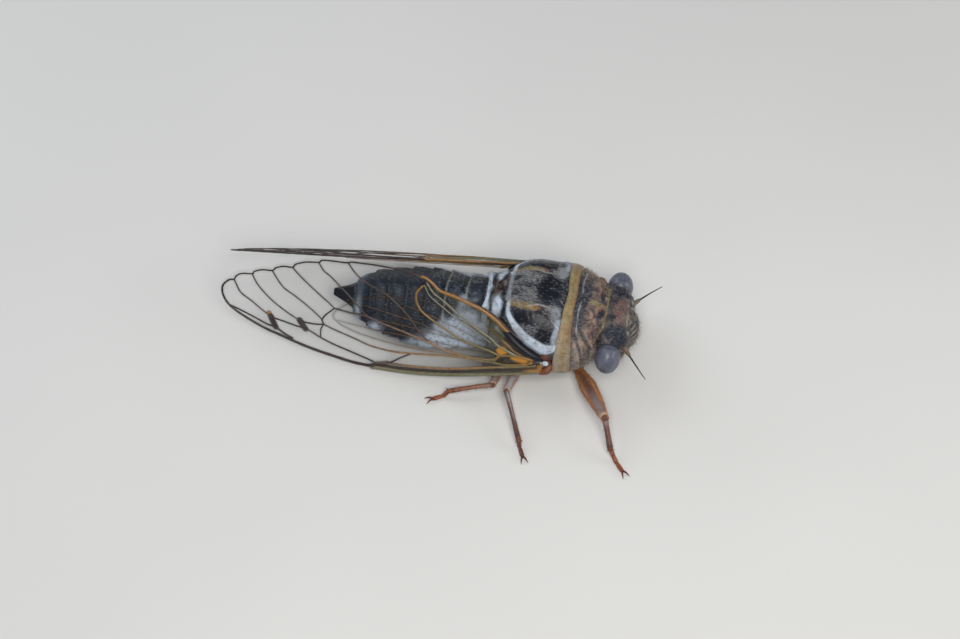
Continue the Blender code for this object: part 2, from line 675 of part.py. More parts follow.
def build_wing(name, side, outline, veins, depth, membrane, vein_rise):
    """One wing: a thin bulging sheet whose veins are ridges raised in its outer face."""
    plane = WingPlane(side, depth)
    rim = smooth_line([*outline, outline[0]], 2)[:-1]
    lines = [smooth_line(points, 2) for points in veins.values()]
    front = rim[:rim.index(max(rim, key=lambda p: p.x)) + 1]
    verts, edges = [], []

    def add_line(points, loop=False):
        first = len(verts)
        verts.extend(points)
        edges.extend((first + i, first + i + 1) for i in range(len(points) - 1))
        if loop:
            edges.append((first + len(points) - 1, first))

    add_line(rim, loop=True)
    add_line(inset(rim, EDGE_VEIN_WIDTH), loop=True)
    ridge_reach = VEIN_WIDTH / 2
    for line in lines:
        add_line(line)
        for turn in (-1, 1):
            flank = []
            for i, p in enumerate(line):
                ahead = (line[min(i + 1, len(line) - 1)] - line[max(i - 1, 0)]).normalized()
                q = p + Vector((-ahead.y, ahead.x)) * turn * ridge_reach
                flank.append(q)
            add_line(flank)
    us = [p.x for p in rim]
    vs = [p.y for p in rim]
    u = min(us) + SHEET_STEP / 2
    while u < max(us):
        v = min(vs) + SHEET_STEP / 2
        while v < max(vs):
            q = Vector((u, v))
            near = min(distance_to_line(q, line) for line in [*lines, [*rim, rim[0]]])
            if inside(q, rim) and near > SHEET_CLEARANCE:
                verts.append(q)
            v += SHEET_STEP
        u += SHEET_STEP
    flat, _, faces, _, _, _ = delaunay_2d_cdt(verts, edges, [], 0, SHEET_WELD)
    faces = [f for f in faces if inside(sum((flat[i] for i in f), Vector((0, 0))) / 3, rim)]
    rises = []
    for p in flat:
        near = min(distance_to_line(p, line) for line in lines)
        edge = distance_to_line(p, front)
        rises.append(vein_rise * max(0.0, 1 - near / ridge_reach, 1 - edge / EDGE_VEIN_WIDTH))
    bm = bmesh.new()
    used = sorted({i for f in faces for i in f})
    upper = {i: bm.verts.new(plane.point(flat[i].x, flat[i].y, membrane / 2 + rises[i])) for i in used}
    lower = {i: bm.verts.new(plane.point(flat[i].x, flat[i].y, -membrane / 2)) for i in used}
    sides = {}
    for face in faces:
        bm.faces.new([upper[i] for i in face])
        bm.faces.new([lower[i] for i in reversed(face)])
        for i, j in zip(face, (*face[1:], face[0])):
            sides[(i, j)] = sides.get((j, i)) is None
            if (j, i) in sides:
                sides[(i, j)] = sides[(j, i)] = False
    for (i, j), open_edge in sides.items():
        if open_edge:
            bm.faces.new((upper[j], upper[i], lower[i], lower[j]))
    return add_object(name, bm, "wing")


def build_wings():
    """Two forewings and, under them, two hindwings."""
    for word, side in (("right", -1), ("left", 1)):
        name = f"forewing_{word}"
        build_wing(name, side, FOREWING_OUTLINE, FOREWING_VEINS, 0.0, MEMBRANE, VEIN_RISE)
        name = f"hindwing_{word}"
        outline, veins = HINDWING_OUTLINE, HINDWING_VEINS
        build_wing(name, side, outline, veins, HINDWING_DEPTH, HINDWING_MEMBRANE, HINDWING_VEIN_RISE)


def leg_points(pair, side):
    """Hip, knee, ankle and toe of one leg in metres."""
    word = "left" if side > 0 else "right"
    return [place(station, side * out, height) for station, out, height in LEGS[(pair, word)]]


def build_leg(pair, word, side):
    """One leg in three pieces: thigh, shin and foot."""
    hip, knee, ankle, toe = leg_points(pair, side)
    gap = GAP * MM
    thigh_way = (knee - hip).normalized()
    shin_way = (ankle - knee).normalized()
    foot_way = (toe - ankle).normalized()
    radii = THIGH_RADII[pair]
    end = knee - thigh_way * (gap / 2 + radii[2] * END_INSET * MM)
    bm = limb([hip, hip.lerp(end, THIGH_WIDEST), end], radii, 10)
    thigh = add_object(f"thigh_{pair}_{word}", bm, "leg")
    if pair == "front":
        below = (shin_way - thigh_way * shin_way.dot(thigh_way)).normalized()
        thorns = []
        for share, length, radius in THIGH_THORNS:
            root = hip.lerp(end, share)
            way = (below + thigh_way * THIGH_THORN_LEAN).normalized()
            tip = root + way * (length + radii[1] * THIGH_THORN_DEPTH) * MM
            thorns.append(helper(thorn(root, tip, radius), "leg"))
        boolean(thigh, thorns, "UNION")
    fold = max(0.0, -thigh_way.dot(shin_way))
    start = knee + shin_way * (gap / 2 + radii[2] * (KNEE_STAND_OFF + fold * KNEE_FOLD_STAND_OFF) * MM)
    end = ankle - shin_way * (gap / 2 + SHIN_RADIUS * END_INSET * MM)
    widths = (SHIN_RADIUS * SHIN_TAPER, SHIN_RADIUS, SHIN_RADIUS)
    shin = add_object(f"shin_{pair}_{word}", limb([start, start.lerp(end, 0.5), end], widths, 8), "leg")
    if pair == "hind":
        thorns = []
        outward = Vector((0, side, SHIN_THORN_LIFT)).normalized()
        for share, length, radius in SHIN_THORNS:
            root = start.lerp(end, share)
            way = (outward + shin_way * SHIN_THORN_LEAN).normalized()
            thorns.append(helper(thorn(root, root + way * (length + SHIN_RADIUS) * MM, radius), "leg"))
        boolean(shin, thorns, "UNION")
    start = ankle + foot_way * (gap / 2 + SHIN_RADIUS * ANKLE_STAND_OFF * MM)
    flat_way = Vector((foot_way.x, foot_way.y, 0)).normalized()
    across = Vector((-flat_way.y, flat_way.x, 0))
    end = Vector((toe.x, toe.y, FOOT_RADIUS * FOOT_TIP_HEIGHT * MM))
    end -= flat_way * CLAW_LENGTH * CLAW_START * MM
    heel = end + Vector((0, 0, FOOT_RADIUS * HEEL_RISE * MM)) - flat_way * FOOT_FLAT * MM
    bm = limb([start, heel, end], (FOOT_RADIUS, FOOT_RADIUS, FOOT_RADIUS * FOOT_TAPER), 8)
    foot = add_object(f"foot_{pair}_{word}", cut_floor(bm), "leg")
    claws = []
    for turn in (-1, 1):
        root = end + across * turn * CLAW_ROOT * MM
        tip = end + (flat_way * CLAW_LENGTH + across * turn * CLAW_SPREAD) * MM
        tip.z = THORN_TIP * CLAW_TIP_HEIGHT * MM
        claws.append(helper(thorn(root, tip, CLAW_RADIUS), "leg"))
    boolean(foot, claws, "UNION")


def build_legs():
    """The six legs."""
    for pair, word in LEGS:
        build_leg(pair, word, 1 if word == "left" else -1)


def main():
    clear_scene()
    for name in ("Cicada", "Cutters"):
        collection = bpy.data.collections.new(name)
        bpy.context.scene.collection.children.link(collection)
    build_head()
    build_eyes()
    build_face()
    build_beak()
    build_antennae()
    build_pronotum()
    build_thorax()
    build_flaps()
    build_abdomen()
    build_wings()
    build_legs()


main()
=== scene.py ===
"""A life-size cicada at rest with its wings folded like a roof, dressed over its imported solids.

Lengths are in millimetres until a mesh is made. A place on the animal is a station, which is the distance behind the
front of its face, a side, positive to its left, and a height over the floor. On a wing u runs from the root to the
tip and v from the front edge to the hind edge. A mark is a number from 0 to 1 at each point of a mesh, which its
finish reads to colour it.
"""

import sys
import logging
import math
from collections.abc import Callable
from dataclasses import dataclass, field
from enum import Enum
from functools import partial, reduce

import bpy
import numpy as np
from mathutils import Matrix, Vector, noise


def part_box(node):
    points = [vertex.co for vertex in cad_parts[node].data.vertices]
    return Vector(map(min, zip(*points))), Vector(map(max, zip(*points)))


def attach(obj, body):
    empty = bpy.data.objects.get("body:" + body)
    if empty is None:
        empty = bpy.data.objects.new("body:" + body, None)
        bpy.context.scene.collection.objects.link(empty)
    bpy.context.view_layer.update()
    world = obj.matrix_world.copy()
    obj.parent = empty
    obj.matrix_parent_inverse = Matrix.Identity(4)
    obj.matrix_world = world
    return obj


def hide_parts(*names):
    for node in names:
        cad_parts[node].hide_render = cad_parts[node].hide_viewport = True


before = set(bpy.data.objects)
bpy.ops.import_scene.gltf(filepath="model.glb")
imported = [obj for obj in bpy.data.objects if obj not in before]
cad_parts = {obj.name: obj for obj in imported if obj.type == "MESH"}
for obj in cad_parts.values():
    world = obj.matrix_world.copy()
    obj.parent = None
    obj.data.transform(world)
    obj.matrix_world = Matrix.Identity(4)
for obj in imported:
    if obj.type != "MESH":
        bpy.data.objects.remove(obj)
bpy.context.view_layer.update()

Array = np.ndarray
Colour = tuple[float, float, float]
Pair2 = tuple[float, float]
Triple = tuple[float, float, float]
Line = tuple[Pair2, ...]
Marks = dict[str, Array] | None
Material = bpy.types.Material
Socket = bpy.types.NodeSocket
MM = 0.001
BODY = "root"
# How the end of a tube is rounded, as shares of its radius, ahead and around.
TUBE_END = ((0.5, 0.87), (0.87, 0.5), (0.98, 0.2))
# Where the seven corners of a hair lie on its unwrap.
HAIR_PATCH = ((0, 0), (0.001, 0), (0.002, 0), (0, 0.0015), (0.001, 0.0015), (0.002, 0.0015), (0.001, 0.003))
log = logging.getLogger("cicada")


class Side(Enum):
    """The two sides of the animal, as the sign of a place to the left."""

    RIGHT = -1
    LEFT = 1

    @property
    def word(self) -> str:
        """The side's name as the solids have it."""
        return self.name.lower()


# Numbers on curves and fields.


def ease(low: float, high: float, x: Array) -> Array:
    """A smooth rise from 0 at low to 1 at high.

    Args:
        low: Where the rise starts.
        high: Where it ends; it may be below low, for a fall.
        x: The values to map.

    Returns:
        The eased values.
    """
    share = np.clip((np.asarray(x, float) - low) / (high - low), 0.0, 1.0)
    return share * share * (3.0 - 2.0 * share)


def bell(x: Array, middle: float, half: float) -> Array:
    """A smooth bump of height 1 round a middle, 0 beyond a half width."""
    return ease(half, 0.0, np.abs(np.asarray(x, float) - middle))


def curve(points: list | tuple | Array, steps: int) -> Array:
    """A smooth curve through points.

    Args:
        points: Rows of coordinates that the curve passes through.
        steps: How many points the curve has for each span.

    Returns:
        The curve's points as rows.
    """
    rows = np.asarray(points, float)
    padded = np.vstack([2 * rows[0] - rows[1], rows, 2 * rows[-1] - rows[-2]])
    shares = np.arange(steps)[:, None] / steps
    spans = []
    for a, b, c, d in zip(padded, padded[1:], padded[2:], padded[3:]):
        spans.append(0.5 * (2 * b + (c - a) * shares + (2 * a - 5 * b + 4 * c - d) * shares**2
            + (3 * b - a - 3 * c + d) * shares**3))
    return np.vstack([*spans, rows[-1:]])


def distance(places: Array, line: Array) -> Array:
    """The least distance from places of a plane to a broken line.

    Args:
        places: Pairs of coordinates in any grid.
        line: The line's points as rows of two coordinates.

    Returns:
        One distance for each place.
    """
    best = np.full(places.shape[:-1], np.inf)
    for a, b in zip(line, line[1:]):
        span = b - a
        share = np.clip((places - a) @ span / max(span @ span, 1e-12), 0.0, 1.0)
        best = np.minimum(best, np.linalg.norm(places - a - share[..., None] * span, axis=-1))
    return best


def stroke(places: Array, line: list | tuple, width: float, soft: float = 0.1) -> Array:
    """A mark along a smooth line of the plane.

    Args:
        places: Pairs of coordinates in any grid.
        line: The points that the mark passes through.
        width: The mark's full width.
        soft: How wide its faded border is.

    Returns:
        The mark at each place.
    """
    return ease(width / 2 + soft, width / 2 - soft * 0.2, distance(places, curve(line, 5)))


def blotch(places: Array, centre: Pair2, radii: Pair2, soft: float = 0.35) -> Array:
    """An oval mark of the plane, faded over a share of its radii."""
    far = np.linalg.norm((places - np.asarray(centre)) / np.asarray(radii), axis=-1)
    return ease(1.0 + soft, 1.0 - soft, far)


def most(*marks: Array) -> Array:
    """The strongest of several marks at each place."""
    return reduce(np.maximum, marks)


def halved(places: Array) -> Array:
    """Places folded onto the left side."""
    return np.stack([places[..., 0], np.abs(places[..., 1])], -1)


def fray(places: Array, ragged: Array, amount: float, shift: int = 11) -> Array:
    """Places moved a little by noise, for the ragged border of a mark."""
    return places + amount * np.stack([ragged, np.roll(ragged, shift)], -1)


def wobble(points: Array, size: float, seed: float = 0.0) -> Array:
    """Smooth noise between about -1 and 1.

    Args:
        points: Points in any grid.
        size: The size of its lumps.
        seed: Another number gives other lumps.

    Returns:
        One value for each point.
    """
    shift = Vector((seed * 7.3, seed * 3.1, seed * 5.7))
    rows = points.reshape(-1, 3).tolist()
    return np.array([noise.noise(Vector(row) / size + shift) for row in rows]).reshape(points.shape[:-1])


def unit(rows: Array) -> Array:
    """Rows of vectors, each of length 1."""
    return rows / np.maximum(np.linalg.norm(rows, axis=-1, keepdims=True), 1e-12)


def globe(rings: int, around: int) -> Array:
    """Points of a unit ball without its poles.

    Args:
        rings: How many rings lie between the poles.
        around: How many points a ring has.

    Returns:
        Unit vectors as (rings, around, 3).
    """
    lean = np.linspace(-math.pi / 2, math.pi / 2, rings + 2)[1:-1]
    turn = np.linspace(0, 2 * math.pi, around, endpoint=False)
    level = np.cos(lean)
    return np.stack([np.outer(level, np.cos(turn)), np.outer(level, np.sin(turn)),
        np.outer(np.sin(lean), np.ones(around))], -1)


def grid_normals(grid: Array, outward: Array) -> Array:
    """The normals of a grid of points.

    Args:
        grid: Points as (rows, columns, 3).
        outward: A direction, or one for each point, that the normals lean to.

    Returns:
        Unit normals in the grid's shape.
    """
    normals = unit(np.cross(np.gradient(grid, axis=0), np.gradient(grid, axis=1)))
    turned = np.sign(np.sum(normals * outward, axis=-1, keepdims=True))
    return normals * np.where(turned == 0, 1, turned)


@dataclass(frozen=True)
class Placing:
    """Where the animal's stations and sides lie in the frame, read from the solids of its eyes."""

    eye_station: float = 2.2

    def origin(self) -> Array:
        """Finds station 0 on the midline at the floor.

        Returns:
            The place in millimetres.
        """
        corners = [np.asarray(corner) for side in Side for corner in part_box(f"eye_{side.word}")]
        middle = np.mean(corners, axis=0) / MM
        return np.array([middle[0] + self.eye_station, middle[1], 0.0])

    def at(self, station: Array, side: Array, height: Array) -> Array:
        """Points of the frame in millimetres for stations, sides and heights, as rows."""
        station, side, height = np.broadcast_arrays(station, side, height)
        return self.origin() + np.stack([-station, side, height], axis=-1).astype(float)


PLACING = Placing()
place = PLACING.at


# Meshes.


@dataclass
class Surface:
    """A mesh in the making: closed bodies, each with its marks, that become one piece."""

    points: list[Array] = field(default_factory=list)
    faces: list[Array] = field(default_factory=list)
    marks: list[dict[str, Array]] = field(default_factory=list)
    roots: list[Array] = field(default_factory=list)
    count: int = 0

    def add(self, points: Array, faces: list[Array], marks: Marks = None) -> None:
        """Adds one closed body and turns its faces outwards.

        Args:
            points: Its points as rows, in millimetres.
            faces: Arrays of corner numbers, of three or four corners a row.
            marks: Its marks by name, one value for each point.
        """
        volume = 0.0
        for rows in faces:
            corners = points[rows]
            for k in range(1, rows.shape[1] - 1):
                volume += np.sum(corners[:, 0] * np.cross(corners[:, k], corners[:, k + 1]))
        turn = -1 if volume < 0 else 1
        self.faces.extend(rows[:, ::turn] + self.count for rows in faces)
        self.points.append(points)
        self.marks.append({name: np.broadcast_to(np.asarray(value, float).reshape(-1), (len(points),)) for name,
            value in (marks or {}).items()})
        self.count += len(points)

    def loft(self, rings: Array, marks: Marks = None) -> None:
        """Adds a body through closed rings, with a fan at each end.

        Args:
            rings: Points as (rings, points a ring, 3).
            marks: Marks by name, in the shape of the rings without the last axis.
        """
        count, sides = rings.shape[:2]
        index = np.arange(count * sides).reshape(count, sides)
        turned = np.roll(index, -1, axis=1)
        walls = np.stack([index[:-1], turned[:-1], turned[1:], index[1:]], axis=-1).reshape(-1, 4)
        first, last = count * sides, count * sides + 1
        caps = np.vstack([np.stack([turned[0], index[0], np.full(sides, first)], axis=-1),
            np.stack([index[-1], turned[-1], np.full(sides, last)], axis=-1),])
        points = np.vstack([rings.reshape(-1, 3), rings[0].mean(0), rings[-1].mean(0)])
        full = {}
        for name, value in (marks or {}).items():
            value = np.broadcast_to(value, (count, sides))
            full[name] = np.concatenate([value.reshape(-1), [value[0].mean(), value[-1].mean()]])
        self.add(points, [walls, caps], full)

    def shell(self, outer: Array, inner: Array, marks: Marks = None) -> None:
        """Adds a plate between two grids of points, closed round its border.

        Args:
            outer: The outer face as (rows, columns, 3).
            inner: The inner face, in the same shape.
            marks: Marks by name for the outer face; the inner face has the same.
        """
        rows, columns = outer.shape[:2]
        index = np.arange(rows * columns).reshape(rows, columns)
        under = index + rows * columns
        top = np.stack([index[:-1, :-1], index[:-1, 1:], index[1:, 1:], index[1:, :-1]], axis=-1).reshape(-1, 4)
        low = (top + rows * columns)[:, ::-1]
        rim = np.concatenate([index[0], index[1:, -1], index[-1, -2::-1], index[-2:0:-1, 0]])
        low_rim = np.concatenate([under[0], under[1:, -1], under[-1, -2::-1], under[-2:0:-1, 0]])
        wall = np.stack([np.roll(rim, -1), rim, low_rim, np.roll(low_rim, -1)], axis=-1)
        points = np.vstack([outer.reshape(-1, 3), inner.reshape(-1, 3)])
        full = {name: np.tile(np.broadcast_to(value, (rows, columns)).reshape(-1), 2) for name,
            value in (marks or {}).items()}
        self.add(points, [top, low, wall], full)

    def tube(self, line: Array, wide: Array, tall: Array | None = None, up: Array | None = None, sides: int = 10,
            marks: Marks = None) -> None:
        """Adds a tube with rounded ends along a line, oval where its two radii differ.

        Args:
            line: The middle line's points as rows.
            wide: The radius across, one for each point or one for all.
            tall: The radius along up; the same as wide if it is left out.
            up: The direction of the tall radius, one or one for each point.
            sides: How many sides the tube has.
            marks: Marks by name, in a shape that fits (points, sides).
        """
        count = len(line)
        wide = np.broadcast_to(np.asarray(wide, float), (count,))
        tall = wide if tall is None else np.broadcast_to(np.asarray(tall, float), (count,))
        ahead = unit(np.gradient(line, axis=0))
        lean = np.broadcast_to(np.array([0.0, 0.0, 1.0]) if up is None else up, (count, 3))
        across = np.cross(ahead, lean)
        weak = np.linalg.norm(across, axis=1) < 0.2
        across[weak] = np.cross(ahead[weak], np.array([0.0, 1.0, 0.0]))
        across = unit(across)
        rise = unit(np.cross(across, ahead))
        angles = 2 * math.pi * np.arange(sides) / sides
        full = {name: np.broadcast_to(value, (count, sides)) for name, value in (marks or {}).items()}
        ring = (across[:, None] * (wide[:, None] * np.cos(angles))[..., None] + rise[:, None]
            * (tall[:, None] * np.sin(angles))[..., None])
        rings = line[:, None] + ring
        ends = []
        for k, sign in ((0, -1.0), (count - 1, 1.0)):
            caps = [line[k] + sign * ahead[k] * min(wide[k], tall[k]) * far + ring[k] * near for far, near in TUBE_END]
            ends.append(np.array(caps[::-1] if k == 0 else caps))
        rings = np.concatenate([ends[0], rings, ends[1]])
        extra = len(TUBE_END)
        repeats = np.concatenate([np.zeros(extra, int), np.arange(count), np.full(extra, count - 1)])
        self.loft(rings, {name: value[repeats] for name, value in full.items()})

    def ball(self, centre: Array, radii: Triple, rows: int = 14, marks: dict[str, float] | None = None,
            lumps: float = 0.0) -> None:
        """Adds an egg-shaped body.

        Args:
            centre: Its middle.
            radii: Its three radii.
            rows: How many rings it has, with its poles; a ring has twice as many points.
            marks: Marks by name, one value for the whole body.
            lumps: How far its surface is uneven, as a share of its radii.
        """
        flat = globe(rows - 2, rows * 2)
        if lumps:
            flat = flat * (1 + lumps * wobble(flat * 1.3 + centre, 1.0, 2.0))[..., None]
        self.loft(centre + flat * np.asarray(radii), marks)

    def hairs(self, roots: Array, ways: Array, lengths: Array, width: float, places: Array, tint: Array) -> None:
        """Adds thin bent spikes, one for each root, each with its place on an unwrap of its skin.

        Args:
            roots: Where they grow, as rows.
            ways: Their directions as unit rows.
            lengths: Their lengths.
            width: Their radius at the root.
            places: Each root's place on the unwrapped skin, as rows of two numbers from 0 to 1.
            tint: One value from 0 to 1 for each, for its colour.
        """
        if not len(roots):
            return
        side = unit(np.cross(ways, np.array([0.31, 0.52, 0.79])))
        other = np.cross(ways, side)
        angles = np.array([0.0, 2.1, 4.2])
        base = np.stack([roots + (side * math.cos(a) + other * math.sin(a)) * width for a in angles], axis=1)
        middle_line = roots + ways * lengths[:, None] * 0.55
        middle = np.stack([middle_line + (side * math.cos(a) + other * math.sin(a)) * width * 0.7 for a in angles], 1)
        tip = roots + ways * lengths[:, None] * 0.98 - np.array([0, 0, 0.06]) * lengths[:, None]
        points = np.concatenate([base, middle, tip[:, None]], axis=1)
        first = np.arange(len(roots))[:, None] * 7
        walls = np.array([(0, 1, 4, 3), (1, 2, 5, 4), (2, 0, 3, 5)])
        tips = np.array([(3, 4, 6), (4, 5, 6), (5, 3, 6), (0, 2, 1)])
        self.faces.append((first[:, :, None] + walls).reshape(-1, 4) + self.count)
        self.faces.append((first[:, :, None] + tips).reshape(-1, 3) + self.count)
        self.points.append(points.reshape(-1, 3))
        self.marks.append({"tint": np.repeat(tint, 7), "tip": np.tile([0, 0, 0, 0.5, 0.5, 0.5, 1.0], len(roots))})
        self.roots.append((places[:, None] * 0.99 + np.array(HAIR_PATCH)).reshape(-1, 2))
        self.count += len(points) * 7

    def build(self, name: str, material: Material, slot: str, nodes: tuple[str, ...] = ()) -> None:
        """Makes the piece, which rides on the body and may stand for solids.

        Args:
            name: The piece's name.
            material: Its finish.
            slot: The record's slot; it is not used.
            nodes: The solids that it stands for.
        """
        mesh = bpy.data.meshes.new(name)
        rows = [row for block in self.faces for row in block.tolist()]
        mesh.from_pydata((np.vstack(self.points) * MM).tolist(), [], rows)
        names = sorted({mark for block in self.marks for mark in block})
        for mark in names:
            values = np.concatenate([block.get(mark, np.zeros(len(points))) for block,
                points in zip(self.marks, self.points)])
            layer = mesh.attributes.new(mark, "FLOAT", "POINT")
            layer.data.foreach_set("value", np.clip(values, 0.0, 1.0).astype(np.float32))
        if self.roots:
            corners = np.empty(len(mesh.loops), np.int32)
            mesh.loops.foreach_get("vertex_index", corners)
            unwrap = mesh.uv_layers.new(name="OFBake")
            unwrap.data.foreach_set("uv", np.vstack(self.roots)[corners].astype(np.float32).reshape(-1))
        mesh.shade_smooth()
        mesh.materials.append(material)
        piece = bpy.data.objects.new(name, mesh)
        bpy.context.scene.collection.objects.link(piece)
        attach(piece, BODY)
        if nodes:
            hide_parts(*nodes)
        log.info("%s: %d faces", name, len(rows))


# Finishes.


class Shades:
    """The nodes of one material, wired by short calls. Sizes of patterns are in millimetres."""

    def __init__(self, name: str) -> None:
        """Starts a material with its shader and its coordinates.

        Args:
            name: The material's name.
        """
        self.material = bpy.data.materials.new(name)
        self.material.use_nodes = True
        self.tree = self.material.node_tree
        self.shader = self.tree.nodes["Principled BSDF"]
        self.place = self.tree.nodes.new("ShaderNodeTexCoord").outputs["Object"]

    def link(self, source: object, target: Socket) -> None:
        """Sets a socket.

        Args:
            source: Another socket, a colour or a number.
            target: The socket to set.
        """
        if isinstance(source, Socket):
            self.tree.links.new(source, target)
        elif isinstance(source, tuple):
            target.default_value = (*source, 1.0) if len(target.default_value) == 4 else source
        else:
            target.default_value = source

    def set(self, **values: object) -> None:
        """Sets sockets of the shader by their names, with _ for a space."""
        for name, value in values.items():
            self.link(value, self.shader.inputs[name.replace("_", " ")])

    def node(self, kind: str, links: dict[str | int, object], result: str | int = 0, **settings: object) -> Socket:
        """Adds a node.

        Args:
            kind: Its kind.
            links: What its inputs are set to.
            result: The output that is wanted.
            settings: Its other settings.

        Returns:
            The output.
        """
        node = self.tree.nodes.new(f"ShaderNode{kind}")
        for name, value in settings.items():
            setattr(node, name, value)
        for name, value in links.items():
            self.link(value, node.inputs[name])
        return node.outputs[result]

    def mark(self, name: str) -> Socket:
        """The value of a mark of the mesh."""
        return self.node("Attribute", {}, "Fac", attribute_name=name)

    def noise(self, size: float, detail: float = 3.0, rough: float = 0.55, stretch: Triple | None = None) -> Socket:
        """Cloudy noise from 0 to 1.

        Args:
            size: The size of its clouds.
            detail: How many finer layers it has.
            rough: How strong those are.
            stretch: Factors on the coordinates, or None.

        Returns:
            The noise's value.
        """
        place = self.place if stretch is None else self.node("Mapping", {"Scale": stretch, "Vector": self.place},
            "Vector")
        return self.node("TexNoise", {"Scale": 1.0 / (size * MM), "Detail": detail, "Roughness": rough,
            "Vector": place}, "Fac")

    def cells(self, size: float) -> Socket:
        """The distance to the middle of the nearest of a field of cells."""
        return self.node("TexVoronoi", {"Scale": 1.0 / (size * MM), "Vector": self.place}, "Distance")

    def sum(self, kind: str, first: object, second: object) -> Socket:
        """A number from two, held between 0 and 1: ADD, MULTIPLY or MAXIMUM."""
        return self.node("Math", {0: first, 1: second}, operation=kind, use_clamp=True)

    def spread(self, value: object, low: float, high: float, start: float = 0.0, end: float = 1.0) -> Socket:
        """A number mapped from low and high to start and end, and held inside them."""
        ends = {"From Min": low, "From Max": high, "To Min": start, "To Max": end}
        return self.node("MapRange", {**ends, "Value": value}, "Result", interpolation_type="SMOOTHSTEP")

    def mix(self, share: object, first: object, second: object) -> Socket:
        """A colour between two, with a share of the second."""
        return self.node("Mix", {"Factor": share, 6: first, 7: second}, 2, data_type="RGBA")

    def ramp(self, value: object, stops: tuple[tuple[float, Colour], ...]) -> Socket:
        """Reads a colour from a row of colours.

        Args:
            value: Where to read, from 0 to 1.
            stops: Pairs of a place and a colour.

        Returns:
            The colour.
        """
        node = self.tree.nodes.new("ShaderNodeValToRGB")
        row = node.color_ramp.elements
        while len(row) < len(stops):
            row.new(0.5)
        for element, (where, colour) in zip(row, stops):
            element.position = where
            element.color = (*colour, 1.0)
        self.link(value, node.inputs["Fac"])
        return node.outputs["Color"]

    def bump(self, height: object, depth: float, strength: float = 1.0) -> None:
        """Adds relief to the shader.

        Args:
            height: A value from 0 to 1.
            depth: How deep the relief is.
            strength: How much of it counts.
        """
        node = self.tree.nodes.new("ShaderNodeBump")
        node.inputs["Distance"].default_value = depth * MM
        node.inputs["Strength"].default_value = strength
        self.link(height, node.inputs["Height"])
        before = self.shader.inputs["Normal"].links
        if before:
            self.link(before[0].from_socket, node.inputs["Normal"])
        self.link(node.outputs["Normal"], self.shader.inputs["Normal"])


@dataclass(frozen=True)
class CuticleFinish:
    """Hard skin: mottled, finely pitted, with down and wax where its marks say.

    It reads the marks warm, pale, dark, rust, down and wax.
    """

    name: str
    ground: Colour
    second: Colour
    warm: Colour
    pale: Colour
    dark: Colour = (0.006, 0.007, 0.012)
    rust: Colour = (0.16, 0.035, 0.015)
    down: Colour = (0.27, 0.28, 0.28)
    wax: Colour = (0.50, 0.575, 0.68)
    roughness: float = 0.42
    speck: float = 0.35

    def material(self) -> Material:
        """Builds the finish.

        Returns:
            The material.
        """
        s = Shades(self.name)
        clouds = s.noise(0.55, 4)
        grain = s.noise(0.09, 3)
        lie = s.noise(0.13, 4, 0.65, (0.35, 1.0, 1.0))
        colour = s.mix(s.spread(clouds, 0.38, 0.64), self.ground, self.second)
        uneven = s.spread(s.noise(0.22, 4), 0.3, 0.62, 0.55, 1.0)
        colour = s.mix(s.sum("MULTIPLY", s.mark("warm"), uneven), colour,
            s.ramp(clouds, ((0.3, tuple(c * 0.62 for c in self.warm)), (0.68, self.warm))))
        for name, tone in (("rust", self.rust), ("pale", self.pale)):
            colour = s.mix(s.sum("MULTIPLY", s.mark(name), uneven), colour, tone)
        colour = s.mix(s.sum("MULTIPLY", s.mark("dark"), s.spread(grain, 0.2, 0.5, 0.7, 1.0)), colour, self.dark)
        specks = s.sum("MULTIPLY", s.spread(s.noise(0.17, 2), 0.56, 0.68), self.speck)
        colour = s.mix(specks, colour, self.dark)
        hairy = s.sum("MULTIPLY", s.mark("down"), s.spread(lie, 0.42, 0.66))
        colour = s.mix(hairy, colour, self.down)
        waxy = s.sum("MULTIPLY", s.mark("wax"), s.spread(s.noise(0.3, 5, 0.7), 0.3, 0.5, 0.25, 1.0))
        colour = s.mix(waxy, colour, self.wax)
        dull = s.sum("MAXIMUM", hairy, waxy)
        s.set(Base_Color=colour, Roughness=s.spread(s.sum("ADD", dull, s.sum("MULTIPLY", grain, 0.35)), 0.0, 1.0,
            self.roughness - 0.08, 0.8))
        s.set(Specular_IOR_Level=0.22, Coat_Weight=0.05, Coat_Roughness=0.3)
        s.bump(s.sum("ADD", s.sum("MULTIPLY", grain, 0.6), s.sum("MULTIPLY", clouds, 0.4)), 0.05, 0.55)
        s.bump(s.spread(s.cells(0.11), 0.0, 0.45), 0.02, 0.35)
        s.bump(lie, 0.03, 0.3)
        return s.material


